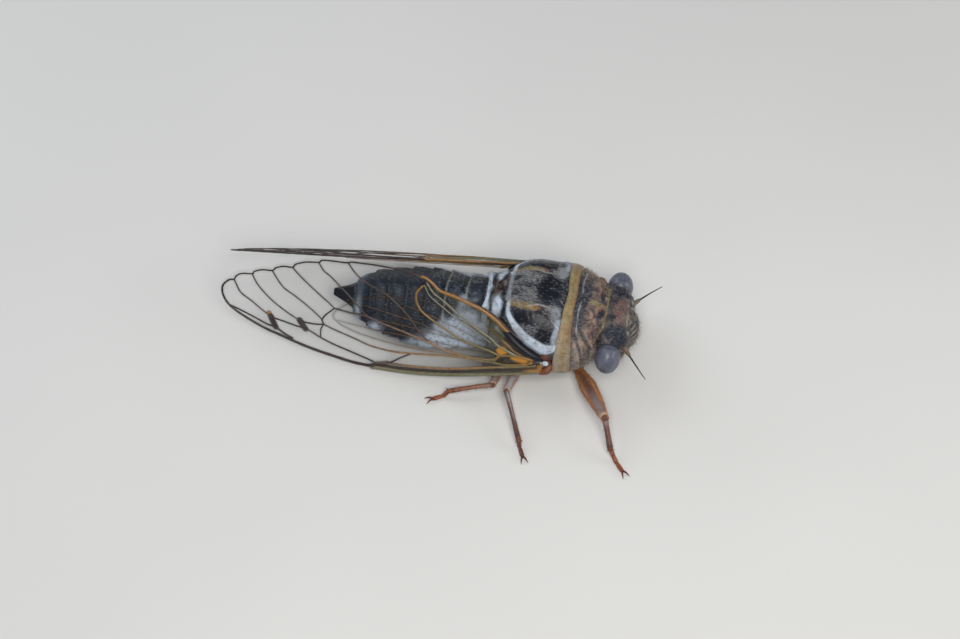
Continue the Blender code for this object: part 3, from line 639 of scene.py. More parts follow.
@dataclass(frozen=True)
class EyeFinish:
    """The matt, finely faceted skin of the large eyes. It reads the marks rim and dark."""

    name: str = "compound_eye"
    ground: Colour = (0.07, 0.085, 0.13)
    second: Colour = (0.125, 0.13, 0.17)
    speck: Colour = (0.022, 0.026, 0.05)
    rim: Colour = (0.045, 0.05, 0.06)
    facet: float = 0.075

    def material(self) -> Material:
        """Builds the finish.

        Returns:
            The material.
        """
        s = Shades(self.name)
        colour = s.mix(s.spread(s.noise(0.5, 3), 0.35, 0.65), self.ground, self.second)
        colour = s.mix(s.sum("MULTIPLY", s.spread(s.noise(0.2, 3, 0.6, (1.0, 1.0, 0.45)), 0.54, 0.66), 0.55), colour,
            self.speck)
        colour = s.mix(s.mark("dark"), colour, self.speck)
        colour = s.mix(s.mark("rim"), colour, self.rim)
        facets = s.cells(self.facet)
        colour = s.mix(s.spread(facets, 0.3, 0.62, 0.0, 0.4), colour, self.speck)
        s.set(Base_Color=colour, Roughness=s.spread(s.noise(0.1), 0.3, 0.7, 0.32, 0.46))
        s.set(Specular_IOR_Level=0.5, Coat_Weight=0.3, Coat_Roughness=0.22)
        s.bump(s.spread(facets, 0.0, 0.6, 1.0, 0.0), 0.018, 0.8)
        return s.material


@dataclass(frozen=True)
class OcellusFinish:
    """The glassy bead of a small eye."""

    name: str = "small_eye"
    ground: Colour = (0.09, 0.015, 0.02)
    second: Colour = (0.2, 0.05, 0.06)

    def material(self) -> Material:
        """Builds the finish.

        Returns:
            The material.
        """
        s = Shades(self.name)
        s.set(Base_Color=s.mix(s.spread(s.noise(0.2, 2), 0.35, 0.65), self.ground, self.second))
        s.set(Roughness=s.spread(s.noise(0.08, 2), 0.3, 0.7, 0.1, 0.2))
        s.set(Coat_Weight=0.7, Coat_Roughness=0.06)
        return s.material


@dataclass(frozen=True)
class MembraneFinish:
    """The clear film of a wing. It reads the marks smoke, amber, milk and edge; smoke also paints shadow at the wing's
    base.
    """

    name: str
    ground: Colour = (0.075, 0.07, 0.06)
    # The colour of the smoky patches, and of the painted shadow at the wing's base.
    smoke: Colour = (0.03, 0.018, 0.012)
    amber: Colour = (0.40, 0.18, 0.025)
    milk: Colour = (0.10, 0.105, 0.06)
    alpha: float = 0.03

    def material(self) -> Material:
        """Builds the finish.

        Returns:
            The material.
        """
        s = Shades(self.name)
        clouds = s.noise(1.6, 3)
        colour = s.mix(s.spread(clouds, 0.35, 0.65), self.ground, tuple(c * 0.84 for c in self.ground))
        dense = self.alpha
        for name, tone, density in (("milk", self.milk, 0.5), ("edge", self.smoke, 0.12), ("amber", self.amber, 0.9),
                ("smoke", self.smoke, 0.75)):
            colour = s.mix(s.mark(name), colour, tone)
            dense = s.sum("ADD", s.sum("MULTIPLY", s.mark(name), density), dense)
        s.set(Base_Color=colour, Alpha=dense, Roughness=s.spread(s.noise(0.6, 4), 0.3, 0.7, 0.12, 0.26))
        s.set(Specular_IOR_Level=0.35, Coat_Weight=0.15, Coat_Roughness=0.08)
        s.bump(s.noise(0.5, 4, 0.6), 0.03, 0.5)
        s.bump(s.noise(0.12, 2), 0.006, 0.4)
        return s.material


@dataclass(frozen=True)
class VeinFinish:
    """The ribs of a wing. It reads the marks tone, from dark brown to olive, and ash."""

    name: str = "wing_vein"
    stops: tuple[tuple[float, Colour], ...] = ((0.0, (0.02, 0.008, 0.007)), (0.25, (0.06, 0.024, 0.015)),
        (0.5, (0.25, 0.115, 0.018)), (0.75, (0.10, 0.092, 0.03)), (1.0, (0.2, 0.18, 0.10)))

    def material(self) -> Material:
        """Builds the finish.

        Returns:
            The material.
        """
        s = Shades(self.name)
        wander = s.spread(s.noise(0.5, 4), 0.3, 0.7, -0.08, 0.08)
        colour = s.ramp(s.node("Math", {0: s.mark("tone"), 1: wander}), self.stops)
        colour = s.mix(s.sum("MULTIPLY", s.mark("ash"), s.spread(s.noise(0.2, 3), 0.3, 0.6)), colour,
            (0.34, 0.36, 0.33))
        colour = s.mix(s.spread(s.noise(0.12, 2), 0.58, 0.7, 0.0, 0.35), colour, (0.02, 0.01, 0.008))
        s.set(Base_Color=colour, Roughness=s.spread(s.noise(0.1), 0.3, 0.7, 0.28, 0.48))
        s.set(Specular_IOR_Level=0.5, Coat_Weight=0.25, Coat_Roughness=0.2)
        s.bump(s.noise(0.09, 3), 0.02, 0.6)
        return s.material


@dataclass(frozen=True)
class HairFinish:
    """Fine stiff hairs. It reads the marks tint and tip."""

    name: str
    root: Colour
    silver: Colour
    dark: Colour = (0.05, 0.035, 0.03)

    def material(self) -> Material:
        """Builds the finish.

        Returns:
            The material.
        """
        s = Shades(self.name)
        colour = s.mix(s.mark("tip"), self.root, self.silver)
        colour = s.mix(s.spread(s.mark("tint"), 0.75, 1.0, 0.0, 0.8), colour, self.dark)
        colour = s.mix(s.spread(s.noise(0.7, 2), 0.4, 0.6, 0.0, 0.3), colour, self.root)
        s.set(Base_Color=colour, Roughness=s.spread(s.noise(0.3, 2), 0.3, 0.7, 0.35, 0.55))
        s.set(Specular_IOR_Level=0.45, Sheen_Weight=0.2)
        return s.material


@dataclass(frozen=True)
class GroundFinish:
    """The plain pale floor of the studio."""

    name: str = "studio_floor"
    ground: Colour = (0.62, 0.62, 0.61)

    def material(self) -> Material:
        """Builds the finish.

        Returns:
            The material.
        """
        s = Shades(self.name)
        s.set(Base_Color=s.mix(s.spread(s.noise(40.0, 2), 0.3, 0.7), self.ground, tuple(c * 0.97 for c in self.ground)))
        s.set(Roughness=0.8)
        return s.material


HEAD_FINISH = CuticleFinish("head_skin", (0.012, 0.016, 0.028), (0.10, 0.085, 0.075), warm=(0.17, 0.10, 0.08),
    pale=(0.36, 0.33, 0.24), dark=(0.005, 0.008, 0.02), rust=(0.15, 0.04, 0.045), down=(0.17, 0.175, 0.18), speck=0.6)
PRONOTUM_FINISH = CuticleFinish("shield_skin", (0.07, 0.045, 0.038), (0.29, 0.18, 0.125), warm=(0.19, 0.165, 0.06),
    pale=(0.38, 0.31, 0.26), dark=(0.01, 0.013, 0.026), rust=(0.15, 0.05, 0.045), speck=0.6)
COLLAR_FINISH = CuticleFinish("collar_skin", (0.20, 0.13, 0.05), (0.29, 0.2, 0.085), warm=(0.24, 0.18, 0.055),
    pale=(0.34, 0.29, 0.22), dark=(0.02, 0.016, 0.014), rust=(0.17, 0.06, 0.02), speck=0.45)
BACK_FINISH = CuticleFinish("back_skin", (0.009, 0.013, 0.025), (0.026, 0.03, 0.04), warm=(0.27, 0.18, 0.045),
    pale=(0.42, 0.40, 0.36), roughness=0.34)
FLANK_FINISH = CuticleFinish("flank_skin", (0.10, 0.085, 0.07), (0.22, 0.17, 0.12), warm=(0.36, 0.21, 0.06),
    pale=(0.42, 0.38, 0.31))
ABDOMEN_FINISH = CuticleFinish("abdomen_skin", (0.0015, 0.006, 0.017), (0.004, 0.014, 0.032), warm=(0.24, 0.14, 0.06),
    pale=(0.30, 0.31, 0.29), dark=(0.004, 0.006, 0.012), down=(0.11, 0.13, 0.16), roughness=0.5)
LEG_FINISH = CuticleFinish("leg_skin", (0.27, 0.075, 0.014), (0.36, 0.13, 0.03), warm=(0.34, 0.2, 0.06),
    pale=(0.44, 0.36, 0.27), dark=(0.035, 0.024, 0.034), rust=(0.19, 0.036, 0.012), wax=(0.30, 0.29, 0.30),
    roughness=0.3, speck=0.2)
CLAW_FINISH = CuticleFinish("claw_horn", (0.06, 0.018, 0.012), (0.10, 0.032, 0.016), warm=(0.3, 0.1, 0.03),
    pale=(0.4, 0.2, 0.1), roughness=0.22, speck=0.1)


# The body.


@dataclass(frozen=True)
class TrunkOutline:
    """The trunk's half width, top and bottom along its stations."""

    rows: tuple[tuple[float, float, float, float], ...] = ((2.4, 2.9, 6.2, 2.7), (3.3, 3.5, 6.7, 2.4),
        (4.4, 4.2, 7.3, 2), (5.6, 4.7, 7.75, 1.7), (6.7, 4.8, 8, 1.5), (8.6, 4.5, 8.3, 1.4), (10.6, 4, 7.9, 1.4),
        (12.6, 3.5, 6.65, 1.6), (14, 3.6, 6.1, 1.4), (16.5, 3.65, 5.85, 1), (19, 3.45, 5.6, 1), (21, 3.2, 5.35, 1.15),
        (23, 2.85, 5.05, 1.4), (24.4, 2, 4.45, 1.75), (25.1, 1.15, 3.85, 2.05), (26.7, 0.33, 3.15, 2.45))
    widest: float = 0.33
    roof: float = 1.6

    def at(self, station: Array) -> tuple[Array, Array, Array]:
        """Half width, top and bottom at stations."""
        line = curve(self.rows, 8)
        return tuple(np.interp(station, line[:, 0], line[:, k]) for k in (1, 2, 3))

    def rings(self, stations: Array, angles: Array, swell: Array | float = 0, roof: float | None = None) -> Array:
        """Points round the trunk.

        Args:
            stations: The rings' stations.
            angles: The angles of a ring's points, from the left side over the top.
            swell: How far each point is moved out, in a shape that fits (stations, angles).
            roof: How much the upper part is like a roof; 1 is round.

        Returns:
            The points as (stations, angles, 3), in millimetres.
        """
        width, top, bottom = (value[:, None] for value in self.at(stations))
        middle = bottom + (top - bottom) * self.widest
        out, up = np.cos(angles)[None], np.sin(angles)[None]
        power = np.where(up > 0, self.roof if roof is None else roof, 1)
        swell = np.broadcast_to(swell, (len(stations), len(angles)))
        side = (width + swell) * np.sign(out) * np.abs(out) ** power
        height = middle + (np.where(up > 0, top - middle, middle - bottom) + swell) * np.sign(up) * np.abs(up) ** power
        return place(stations[:, None], side, height)


TRUNK = TrunkOutline()


@dataclass
class Head:
    """The short wide head with its eyes, small eyes, ribbed face, beak and feelers."""

    station: float = 2.3
    height: float = 4.6
    size: Triple = (1.7, 3.45, 2)
    eye_station: float = 2.2
    eye_spread: float = 3.62
    eye_height: float = 4.35
    eye_size: Triple = (1.1, 1.28, 1.46)
    ocelli: Line = ((1.45, 0), (1.85, 0.48), (1.85, -0.48))
    ocellus: float = 0.13
    face_station: float = 1.5
    face_height: float = 3.7
    face_size: Triple = (1.5, 1.75, 2.35)
    ribs: int = 10
    beak_length: float = 6.2
    beak_radius: float = 0.4
    feeler_root: Triple = (0.75, 2.45, 4.1)
    feeler_length: float = 2.75

    def skull_top(self, station: Array, side: Array) -> Array:
        """The height of the head's upper face."""
        share = 1 - ((station - self.station) / self.size[0]) ** 2 - (side / self.size[1]) ** 2
        return self.height + self.size[2] * np.sqrt(most(share, 0))

    def build_skull(self) -> None:
        """The skin between the eyes: a raised middle with the small eyes on it, grooves and lobes over the feelers."""
        rows, columns = 150, 200
        lean = np.linspace(-math.pi / 2, math.pi / 2, rows + 2)[1:-1]
        turn = np.linspace(0, 2 * math.pi, columns, endpoint=False)
        side = self.size[1] * np.sin(lean)[:, None] * np.ones(columns)
        ahead = np.cos(lean)[:, None] * np.cos(turn)
        rise = np.cos(lean)[:, None] * np.sin(turn)
        station = self.station - self.size[0] * ahead
        flat = np.stack([station, side], -1)
        aside = halved(flat)
        upper = rise > 0
        swell = 0.16 * blotch(flat, (1.75, 0), (0.75, 1), 0.5)
        swell += 0.2 * blotch(aside, (1.1, 1.8), (0.6, 0.75), 0.6)
        swell -= 0.1 * stroke(aside, [(2.5, 0.35), (1.9, 1.15), (1.2, 1.2), (0.85, 0.9)], 0.1, 0.16)
        swell -= 0.08 * stroke(aside, [(2.4, 2.5), (1.75, 2.1), (1.1, 2.5)], 0.08, 0.16)
        swell -= 0.06 * stroke(flat, [(2.6, 0), (1.95, 0)], 0.05, 0.1)
        swell *= upper
        normal = unit(np.stack([ahead / self.size[0], side / self.size[1] ** 2, rise / self.size[2]], -1))
        points = place(station, side, self.height + self.size[2] * rise)
        swell = swell + 0.03 * wobble(points, 0.35, 1)
        points = points + normal * swell[..., None]
        ragged = wobble(points, 0.45, 1.5)
        frayed = fray(aside, ragged, 0.25)
        near_eye = most(blotch(frayed, (1.75, 2.05), (0.95, 0.6), 0.3), blotch(frayed, (1.1, 2.5), (0.7, 0.55), 0.3))
        marks = {"dark": most(near_eye, 0.9 * blotch(frayed, (2.3, 0.75), (0.35, 0.3), 0.5)) * upper,
            "warm": most(0.85 * blotch(frayed, (1.75, 0.4), (0.7, 0.9), 0.5), 0.7 * (~upper))
            * (1 - near_eye * upper), "pale": 0.8 * ease(1.35, 0.95, station) * ease(2, 1.5, aside[..., 1])
            * ease(-0.1, 0.25, ragged), "rust": 0.45 * blotch(frayed, (1.7, 0.75), (0.3, 0.3), 0.5) * upper,
            "down": 0.25,}
        skin = Surface()
        skin.loft(points, marks)
        skin.build("head_skin", HEAD_FINISH.material(), "head", ("head",))

    def eye_middle(self, side: Side) -> Array:
        """The middle of an eye."""
        return place(self.eye_station, side.value * self.eye_spread, self.eye_height)

    def build_eyes(self) -> None:
        """The two faceted eyes, each with a narrow dark rim, and the three small ones."""
        finish = EyeFinish().material()
        for side in Side:
            flat = globe(90, 120)
            inward = -flat[..., 1] * side.value
            skin = Surface()
            skin.loft(self.eye_middle(side) + flat * np.asarray(self.eye_size),
                {"rim": ease(0.28, 0.42, inward), "dark": 0.5 * bell(inward, 0.1, 0.12)})
            skin.build(f"compound_eye_{side.word}", finish, "eye", (f"eye_{side.word}",))
        beads = Surface()
        for station, side in self.ocelli:
            height = float(self.skull_top(np.array(station), np.array(side))) + 0.13
            beads.ball(place(station, side, height), (self.ocellus,) * 3, rows=12)
        beads.build("small_eyes", OcellusFinish().material(), "eye")

    def build_face(self) -> None:
        """The swollen face with a middle groove and a row of curved ribs to each side, and the plates beside it."""
        flat = globe(220, 160)
        ahead, side, rise = flat[..., 0], flat[..., 1], flat[..., 2]
        reach = np.abs(side) / most(np.sqrt(1 - rise**2), 1e-6)
        bent = rise + 0.1 * (reach - 0.5) ** 2
        wave = np.cos(bent * self.ribs * math.pi)
        ribbed = bell(reach, 0.52, 0.42) * ease(-0.1, 0.25, ahead) * ease(0.93, 0.7, np.abs(rise))
        groove = ease(0.12, 0.02, reach) * (ahead > 0) * ease(0.9, 0.6, np.abs(rise))
        swell = 0.055 * wave * ribbed - 0.09 * groove
        points = place(self.face_station, 0, self.face_height) + flat * np.asarray(self.face_size) * (1
            + swell[..., None] / 1.6)
        marks = {"pale": ribbed * ease(0.1, 0.8, wave) * 0.75, "dark": ribbed * ease(-0.1, -0.8, wave) * 0.8,
            "warm": most(0.6 * ease(0.5, 0.95, rise) * ease(0.3, 0.05, reach), 0.35 * ease(0.75, 0.95, reach)),
            "down": 0.3}
        skin = Surface()
        skin.loft(points, marks)
        for word in Side:
            low = place([1.2, 1.55, 2, 2.6], word.value * np.array([1.45, 2, 2.3, 2.2]), [1.9, 2.3, 3, 3.6])
            skin.tube(curve(low, 8), curve([[0.2], [0.42], [0.55], [0.3]], 8)[:, 0], sides=14,
                marks={"warm": 0.3, "down": 0.7})
        skin.build("face_skin", HEAD_FINISH.material(), "head", ("face",))

    def build_beak(self) -> None:
        """The jointed beak, held back between the front legs."""
        start = self.face_station + 1.45
        steps = 60
        share = np.linspace(0, 1, steps)
        line = place(start + self.beak_length * share, 0, 1.2 - 0.42 * share)
        taper = self.beak_radius * np.interp(share, [0, 0.12, 0.3, 0.34, 0.6, 0.97, 1],
            [0.85, 1, 0.85, 0.95, 0.7, 0.4, 0.25])
        around = np.linspace(0, 2 * math.pi, 14, endpoint=False)
        skin = Surface()
        skin.tube(line, taper, taper * 0.85, sides=14, marks={"warm": 0.85 * ease(0.85, 0.6, share)[:, None],
            "dark": ease(0.8, 0.95, share)[:, None] * 0.95 + 0.7 * ease(0.25, 0,
            np.abs(np.sin(around / 2 - math.pi / 4)))[None] * ease(0.8, 0.5, share)[:, None], "down": 0.4})
        skin.build("beak_skin", HEAD_FINISH.material(), "head", ("beak",))

    def build_feelers(self) -> None:
        """The two feelers: two short thick joints and a bristle of fine ones."""
        finish = HEAD_FINISH.material()
        for side in Side:
            ahead = unit(np.array([0.62, side.value * 0.74, -0.1]))
            root = place(self.feeler_root[0], side.value * self.feeler_root[1], self.feeler_root[2])
            skin = Surface()
            base = root - ahead * 0.45 + np.linspace(0, 1, 12)[:, None] * ahead * 0.95
            skin.tube(base, np.interp(np.linspace(0, 1, 12), [0, 0.45, 0.5, 0.55, 1], [0.25, 0.24, 0.16, 0.2, 0.15]),
                sides=14, marks={"warm": 0.95, "pale": 0.2})
            share = np.linspace(0, 1, 70)
            bend = ahead * self.feeler_length * share[:, None] + np.array([0.1, 0, -0.12]) * (share**2)[:, None]
            knots = 1 + 0.12 * np.cos(share * 2 * math.pi * 9)
            skin.tube(root + ahead * 0.4 + bend * 0.95, (0.085 - 0.052 * share) * knots, sides=8,
                marks={"dark": 0.85, "rust": 0.4})
            skin.build(f"feeler_{side.word}", finish, "head", (f"antenna_{side.word}",))

    def build(self) -> None:
        """Builds the head's pieces."""
        self.build_skull()
        self.build_eyes()
        self.build_face()
        self.build_beak()
        self.build_feelers()


@dataclass
class Plate:
    """A curved back plate: an upper face over a range of stations, and its thickness."""

    rows: int = 120
    columns: int = 240
    thickness: float = 0.28

    def sides(self) -> Array:
        """The angles of a row's points, from the right foot over the top to the left foot."""
        return np.linspace(math.pi, 0, self.columns)


@dataclass
class Pronotum(Plate):
    """The grooved shield behind the head and the smooth collar behind it."""

    foot: float = 3.15
    front: Line = ((0, 2.5), (1.2, 2.55), (2.2, 2.75), (3.2, 3.2), (4.3, 3.65), (5.2, 3.9))
    rear: Line = ((0, 5.55), (1.5, 5.6), (3, 5.55), (4, 5.4), (5.2, 5.3))
    collar_rear: Line = ((0, 6.25), (1.6, 6.4), (3, 6.5), (4, 6.65), (5.2, 6.85))

    def over(self, station: Array, angles: Array, swell: float = 0) -> Array:
        """Points of an arch over the trunk.

        Args:
            station: Their stations.
            angles: Their angles, in the same shape.
            swell: How far they stand off the trunk.

        Returns:
            The points.
        """
        width, top, _ = TRUNK.at(station)
        out, up = np.cos(angles), np.sin(angles)
        side = (width + swell) * np.sign(out) * np.abs(out) ** 0.85
        return place(station, side, self.foot + (top + swell - self.foot) * most(up, 0) ** 0.9)

    def grid(self, start: tuple, end: tuple, swell: float = 0) -> tuple[Array, Array, Array]:
        """The upper face between two borders.

        Args:
            start: The front border, as rows of side and station.
            end: The rear border.
            swell: How far the face stands off the trunk.

        Returns:
            The points, with their stations and sides.
        """
        angles = np.broadcast_to(self.sides(), (self.rows, self.columns))
        near = np.abs(np.cos(angles)) ** 0.85 * 4.7
        first = np.interp(near, *np.array(start).T)
        last = np.interp(near, *np.array(end).T)
        station = first + (last - first) * np.linspace(0, 1, self.rows)[:, None]
        points = self.over(station, angles, swell)
        return points, station, points[..., 1] - place(0, 0, 0)[1]

    def build_shield(self) -> None:
        """The shield, with its slanting grooves, its lobes and its olive middle stripe."""
        points, station, side = self.grid(self.front, self.rear)
        flat = np.stack([station, side], -1)
        aside = halved(flat)
        line, oval = partial(stroke, aside), partial(blotch, aside)
        off = np.abs(side)
        to_rear = np.interp(off, *np.array(self.rear).T) - station
        inner = ease(3.4, 2.4, off)
        front_groove = line([(3, 0.45), (3.35, 1), (3.25, 1.85), (3.55, 2.7)], 0.13, 0.2)
        rear_groove = line([(5.1, 1.1), (4.95, 2.3), (4.4, 3.05), (3.75, 3.45)], 0.14, 0.2)
        side_groove = line([(5.3, 3), (4.9, 3.6), (4.4, 4.1)], 0.08, 0.18)
        ragged = wobble(points, 0.5, 3.5)
        frayed = fray(aside, ragged, 0.2)
        middle = stroke(flat, [(4.9, 0), (4.2, 0), (2.6, 0)], 0.34, 0.12)
        wedge = blotch(frayed, (3.3, 0.75), (0.22, 0.5), 0.5)
        rim = ease(0.5, 0.36, station - np.interp(off, *np.array(self.front).T)) * inner
        hollow = oval((4.35, 1.75), (0.3, 0.45), 0.6)
        rings = most(line([(4.75, 1.1), (4.3, 0.75), (3.85, 1), (3.95, 1.6), (4.5, 1.75), (4.8, 1.4)], 0.05, 0.1),
            line([(4.2, 2.2), (3.8, 1.9), (3.6, 2.3), (3.9, 2.75)], 0.04, 0.1),
            stroke(frayed, [(3, 0.4), (3.4, 0.8), (3.5, 1.5), (3.3, 2.1)], 0.05, 0.1))
        lobes = 0.13 * oval((4.3, 1.15), (0.85, 0.75), 0.7) + 0.12 * oval((3.9, 2.3), (0.5, 0.8), 0.7)
        lobes += 0.12 * oval((4.75, 3.75), (0.5, 0.75), 0.7)
        swell = lobes - 0.2 * front_groove - 0.2 * rear_groove - 0.12 * side_groove
        swell = swell - 0.08 * hollow + 0.06 * middle - 0.08 * rings
        swell = swell * (1 - rim) + 0.1 * rim
        swell += 0.03 * wobble(points, 0.3, 3) * (1 - rim)
        swell += 0.05 * wobble(points * (1, 0.5, 1), 0.75, 4) * (1 - rim)
        normals = grid_normals(points, (0.1, 0, 1) + (points - place(4, 0, 3.5)))
        outer = points + normals * swell[..., None]
        reach = 0.8 + 0.35 * ease(-1, 0.5, side)
        band = ease(reach + 0.35, reach, to_rear) * inner
        marks = {"dark": most(0.95 * band, np.clip(0.8 * front_groove + 0.9 * rear_groove + 0.85 * side_groove + 0.9
            * wedge + 0.4 * hollow + 0.4 * rings + 0.5 * ease(0.25, 0.5, ragged), 0, 1) * (1 - rim)),
            "warm": most(middle, 0.9 * rim), "rust": 0.75 * line([(3.15, 0.3), (3.5, 1), (3.4, 1.9), (3.7, 2.7)], 0.3,
            0.25), "pale": most(line([(5, 1.35), (4.8, 2.35), (4.2, 3), (3.6, 3.3)], 0.12, 0.1), 0.6
            * oval((4.75, 3.8), (0.4, 0.6), 0.6)), "down": 0.3 + 0.4 * ease(2.5, 4.5, off), "wax": 0.5
            * bell(to_rear, 0.5, 0.12) * ease(0.2, 1.2, off) * ease(3.4, 2.6, off),}
        skin = Surface()
        skin.shell(outer, points - normals * self.thickness, marks)
        skin.build("shield_skin", PRONOTUM_FINISH.material(), "pronotum", ("pronotum",))

    def build_collar(self) -> None:
        """The collar: a smooth band, wider to the sides, with its edge turned out."""
        start = tuple((side, station - 0.12) for side, station in self.rear)
        points, station, side = self.grid(start, self.collar_rear, 0.04)
        share = np.linspace(0, 1, self.rows)[:, None] * np.ones(self.columns)
        swell = 0.13 * np.sin(math.pi * np.clip(share, 0, 1)) ** 0.6 + 0.05 * ease(0.8, 1, share) - 0.06 * bell(share,
            0.16, 0.1)
        off = np.abs(side)
        swell += 0.1 * ease(3.4, 4.6, off)
        swell += 0.02 * wobble(points, 0.35, 5)
        normals = grid_normals(points, (0.1, 0, 1) + (points - place(6, 0, 3.5)))
        marks = {"dark": most(0.9 * ease(0.12, 0.02, share), 0.85 * ease(0.955, 1, share)), "warm": 0.7
            * ease(0.2, 0.5, share) * ease(3.8, 2.4, off), "rust": 0.5 * ease(0.25, 0.1, share) + 0.25
            * bell(off, 3.2, 0.9), "pale": 0.4 * ease(3.3, 4.2, off) * (1 - bell(share, 0.5, 0.35)) + 0.35
            * bell(share, 0.75, 0.2), "down": 0.25 + 0.35 * ease(3, 4.4, off),}
        skin = Surface()
        skin.shell(points + normals * swell[..., None], points - normals * self.thickness, marks)
        skin.build("collar_skin", COLLAR_FINISH.material(), "collar", ("pronotum_collar",))

    def build(self) -> None:
        """Builds the shield and the collar."""
        self.build_shield()
        self.build_collar()


@dataclass
class Back(Plate):
    """The large back plate of the middle thorax with the raised cross at its rear."""

    rows: int = 220
    columns: int = 260
    borders: tuple[tuple[float, float, float, float], ...] = ((5.9, 4.55, 4.5, 7.75), (7.05, 4.65, 4.4, 8.05),
        (8.8, 4.25, 5, 8.4), (10.2, 3.5, 5.9, 8.3), (11.2, 2.7, 6.4, 7.9), (11.9, 2.3, 6.2, 7.35),
        (12.6, 2.3, 5.7, 7), (13.3, 2.4, 5.3, 6.3))
    cross_middle: Pair2 = (12.25, 0)
    cross_front: Pair2 = (11.45, 1.25)
    cross_rear: Pair2 = (13.1, 1.75)

    def dome(self, station: Array, share: Array) -> tuple[Array, Array]:
        """The plate's upper face before its relief.

        Args:
            station: Stations.
            share: Shares of the half width, from -1 to 1.

        Returns:
            The sides and the heights.
        """
        line = curve(self.borders, 8)
        border, low, top = (np.interp(station, line[:, 0], line[:, k]) for k in (1, 2, 3))
        angle = (1 - share) * math.pi / 2
        side = border * np.sign(share) * np.abs(np.cos(angle)) ** 0.9
        return side, low + (top - low) * np.sin(angle)

    def relief(self, flat: Array) -> dict[str, Array]:
        """The looks of the plate.

        Args:
            flat: Places as station and side.

        Returns:
            The marks by name, and the relief as swell.
        """
        aside = halved(flat)
        station, side = aside[..., 0], aside[..., 1]
        ragged = wobble(np.stack([station, flat[..., 1], 0 * station], -1), 0.5, 2)
        frayed = fray(aside, ragged, 0.22, 7)
        line, oval, spot = partial(stroke, aside), partial(blotch, aside), partial(blotch, frayed)
        middle, front, rear = self.cross_middle, self.cross_front, self.cross_rear
        arms = most(line([middle, (11.9, 0.6), front], 0.26, 0.16), line([middle, (12.7, 0.75), rear], 0.3, 0.18))
        hub = blotch(flat, middle, (0.55, 0.55), 0.5)
        pit = most(oval((11.75, 0), (0.28, 0.42), 0.6), oval((12.75, 0), (0.25, 0.35), 0.6))
        dip = oval((12.1, 1.6), (0.42, 0.85), 0.4)
        lines = most(line([(6.6, 2.05), (7.6, 1.75), (8.6, 1.7), (9.4, 1.95)], 0.05, 0.09),
            line([(6.5, 3.2), (7.3, 2.65), (8.1, 2.2)], 0.06, 0.09))
        border = line([(6.45, 4.25), (7.5, 4.4), (8.85, 4.05), (9.65, 3.65), (10.3, 3.2), (10.75, 2.75), (11.05, 2.3),
            (11.12, 1.6), (11.2, 0.6), (11.25, 0)], 0.24, 0.1)
        border *= 0.35 + 0.65 * ease(0.9, 2, side + 0.6 * ragged)
        front_border = stroke(frayed, [(6.9, 4.3), (6.75, 3.8), (6.65, 3.2), (6.6, 2.6)], 0.3, 0.2)
        stripe = line([(8.75, 1.95), (9.5, 1.92), (10.2, 1.8), (10.8, 1.65)], 0.42, 0.14)
        dark = most(spot((7.9, 0.35), (1.05, 0.85), 0.3) * (1 - 0.8 * blotch(flat, (7.2, 0), (0.5, 0.14), 0.8)),
            spot((9.2, 2.75), (1.75, 0.48), 0.3), spot((8.1, 2.7), (0.75, 0.65), 0.3),
            spot((7.55, 3.65), (0.85, 0.6), 0.3), spot((10.6, 0.75), (0.5, 0.3), 0.6), 0.8
            * spot((9.9, 0.1), (0.9, 0.2), 0.6), line([(9.35, 3.3), (9.25, 4)], 0.08, 0.08), 0.95 * pit,
            line([(11.45, 2.4), (11.55, 1.7), (11.55, 0.5)], 0.16, 0.1),
            line([(12.66, 0.3), (12.64, 1.2), (12.68, 2.3)], 0.07, 0.06), 0.9 * arms * (1 - dip))
        down = most(0.55 * spot((9.9, 0.75), (1.6, 1.1), 0.4), 0.6 * spot((7.1, 2.1), (0.7, 0.7), 0.4), 0.35
            * spot((9.3, 3.55), (1.3, 0.35), 0.5), 0.08 + 0.2 * ease(0, 0.4, ragged)) * (1 - 0.95 * dark)
        band = line([(12.95, 0), (13, 1.2), (13.1, 2.4)], 0.42, 0.12)
        wax = most(border, 0.55 * front_border, 0.95 * dip, band, 0.4 * spot((6.95, 2), (0.4, 0.5), 0.5)) * (1 - 0.8
            * pit)
        swell = (0.26 * arms + 0.12 * hub - 0.25 * pit + 0.05 * dip - 0.05 * lines + 0.1 * border + 0.12 * band + 0.05
            * oval((8.6, 2.9), (1.7, 0.6), 0.8) + 0.06 * blotch(flat, (8.2, 0), (1.6, 0.9), 0.8) + 0.05 * front_border
            - 0.1 * line([(11.35, 2.2), (11.5, 1.3), (11.55, 0)], 0.12, 0.16))
        return {"swell": swell, "dark": np.clip(dark * (1 - 0.7 * stripe), 0, 1), "down": np.clip(down, 0, 1),
            "wax": np.clip(wax, 0, 1), "warm": most(0.95 * stripe, 0.5 * hub), "pale": 0.7 * lines,
            "rust": most(0.7 * spot((12.2, 0.3), (0.6, 0.35), 0.5), 0.5 * line([(8.4, 1.95), (8.75, 1.9)], 0.3, 0.2))}

    def build(self) -> None:
        """Builds the plate with its cross."""
        share = np.linspace(-1, 1, self.columns)[None] * np.ones((self.rows, 1))
        station = np.linspace(self.borders[0][0], self.borders[-1][0], self.rows)[:, None] * np.ones(self.columns)
        side, height = self.dome(station, share)
        points = place(station, side, height)
        found = self.relief(np.stack([station, side], -1))
        swell = found.pop("swell")
        swell += 0.022 * wobble(points, 0.28, 6)
        normals = grid_normals(points, (0, 0, 1) + (points - place(9, 0, 3)) * 0.5)
        skin = Surface()
        skin.shell(points + normals * swell[..., None], points - normals * self.thickness, found)
        skin.build("back_skin", BACK_FINISH.material(), "mesonotum", ("mesonotum", "scutellum"))


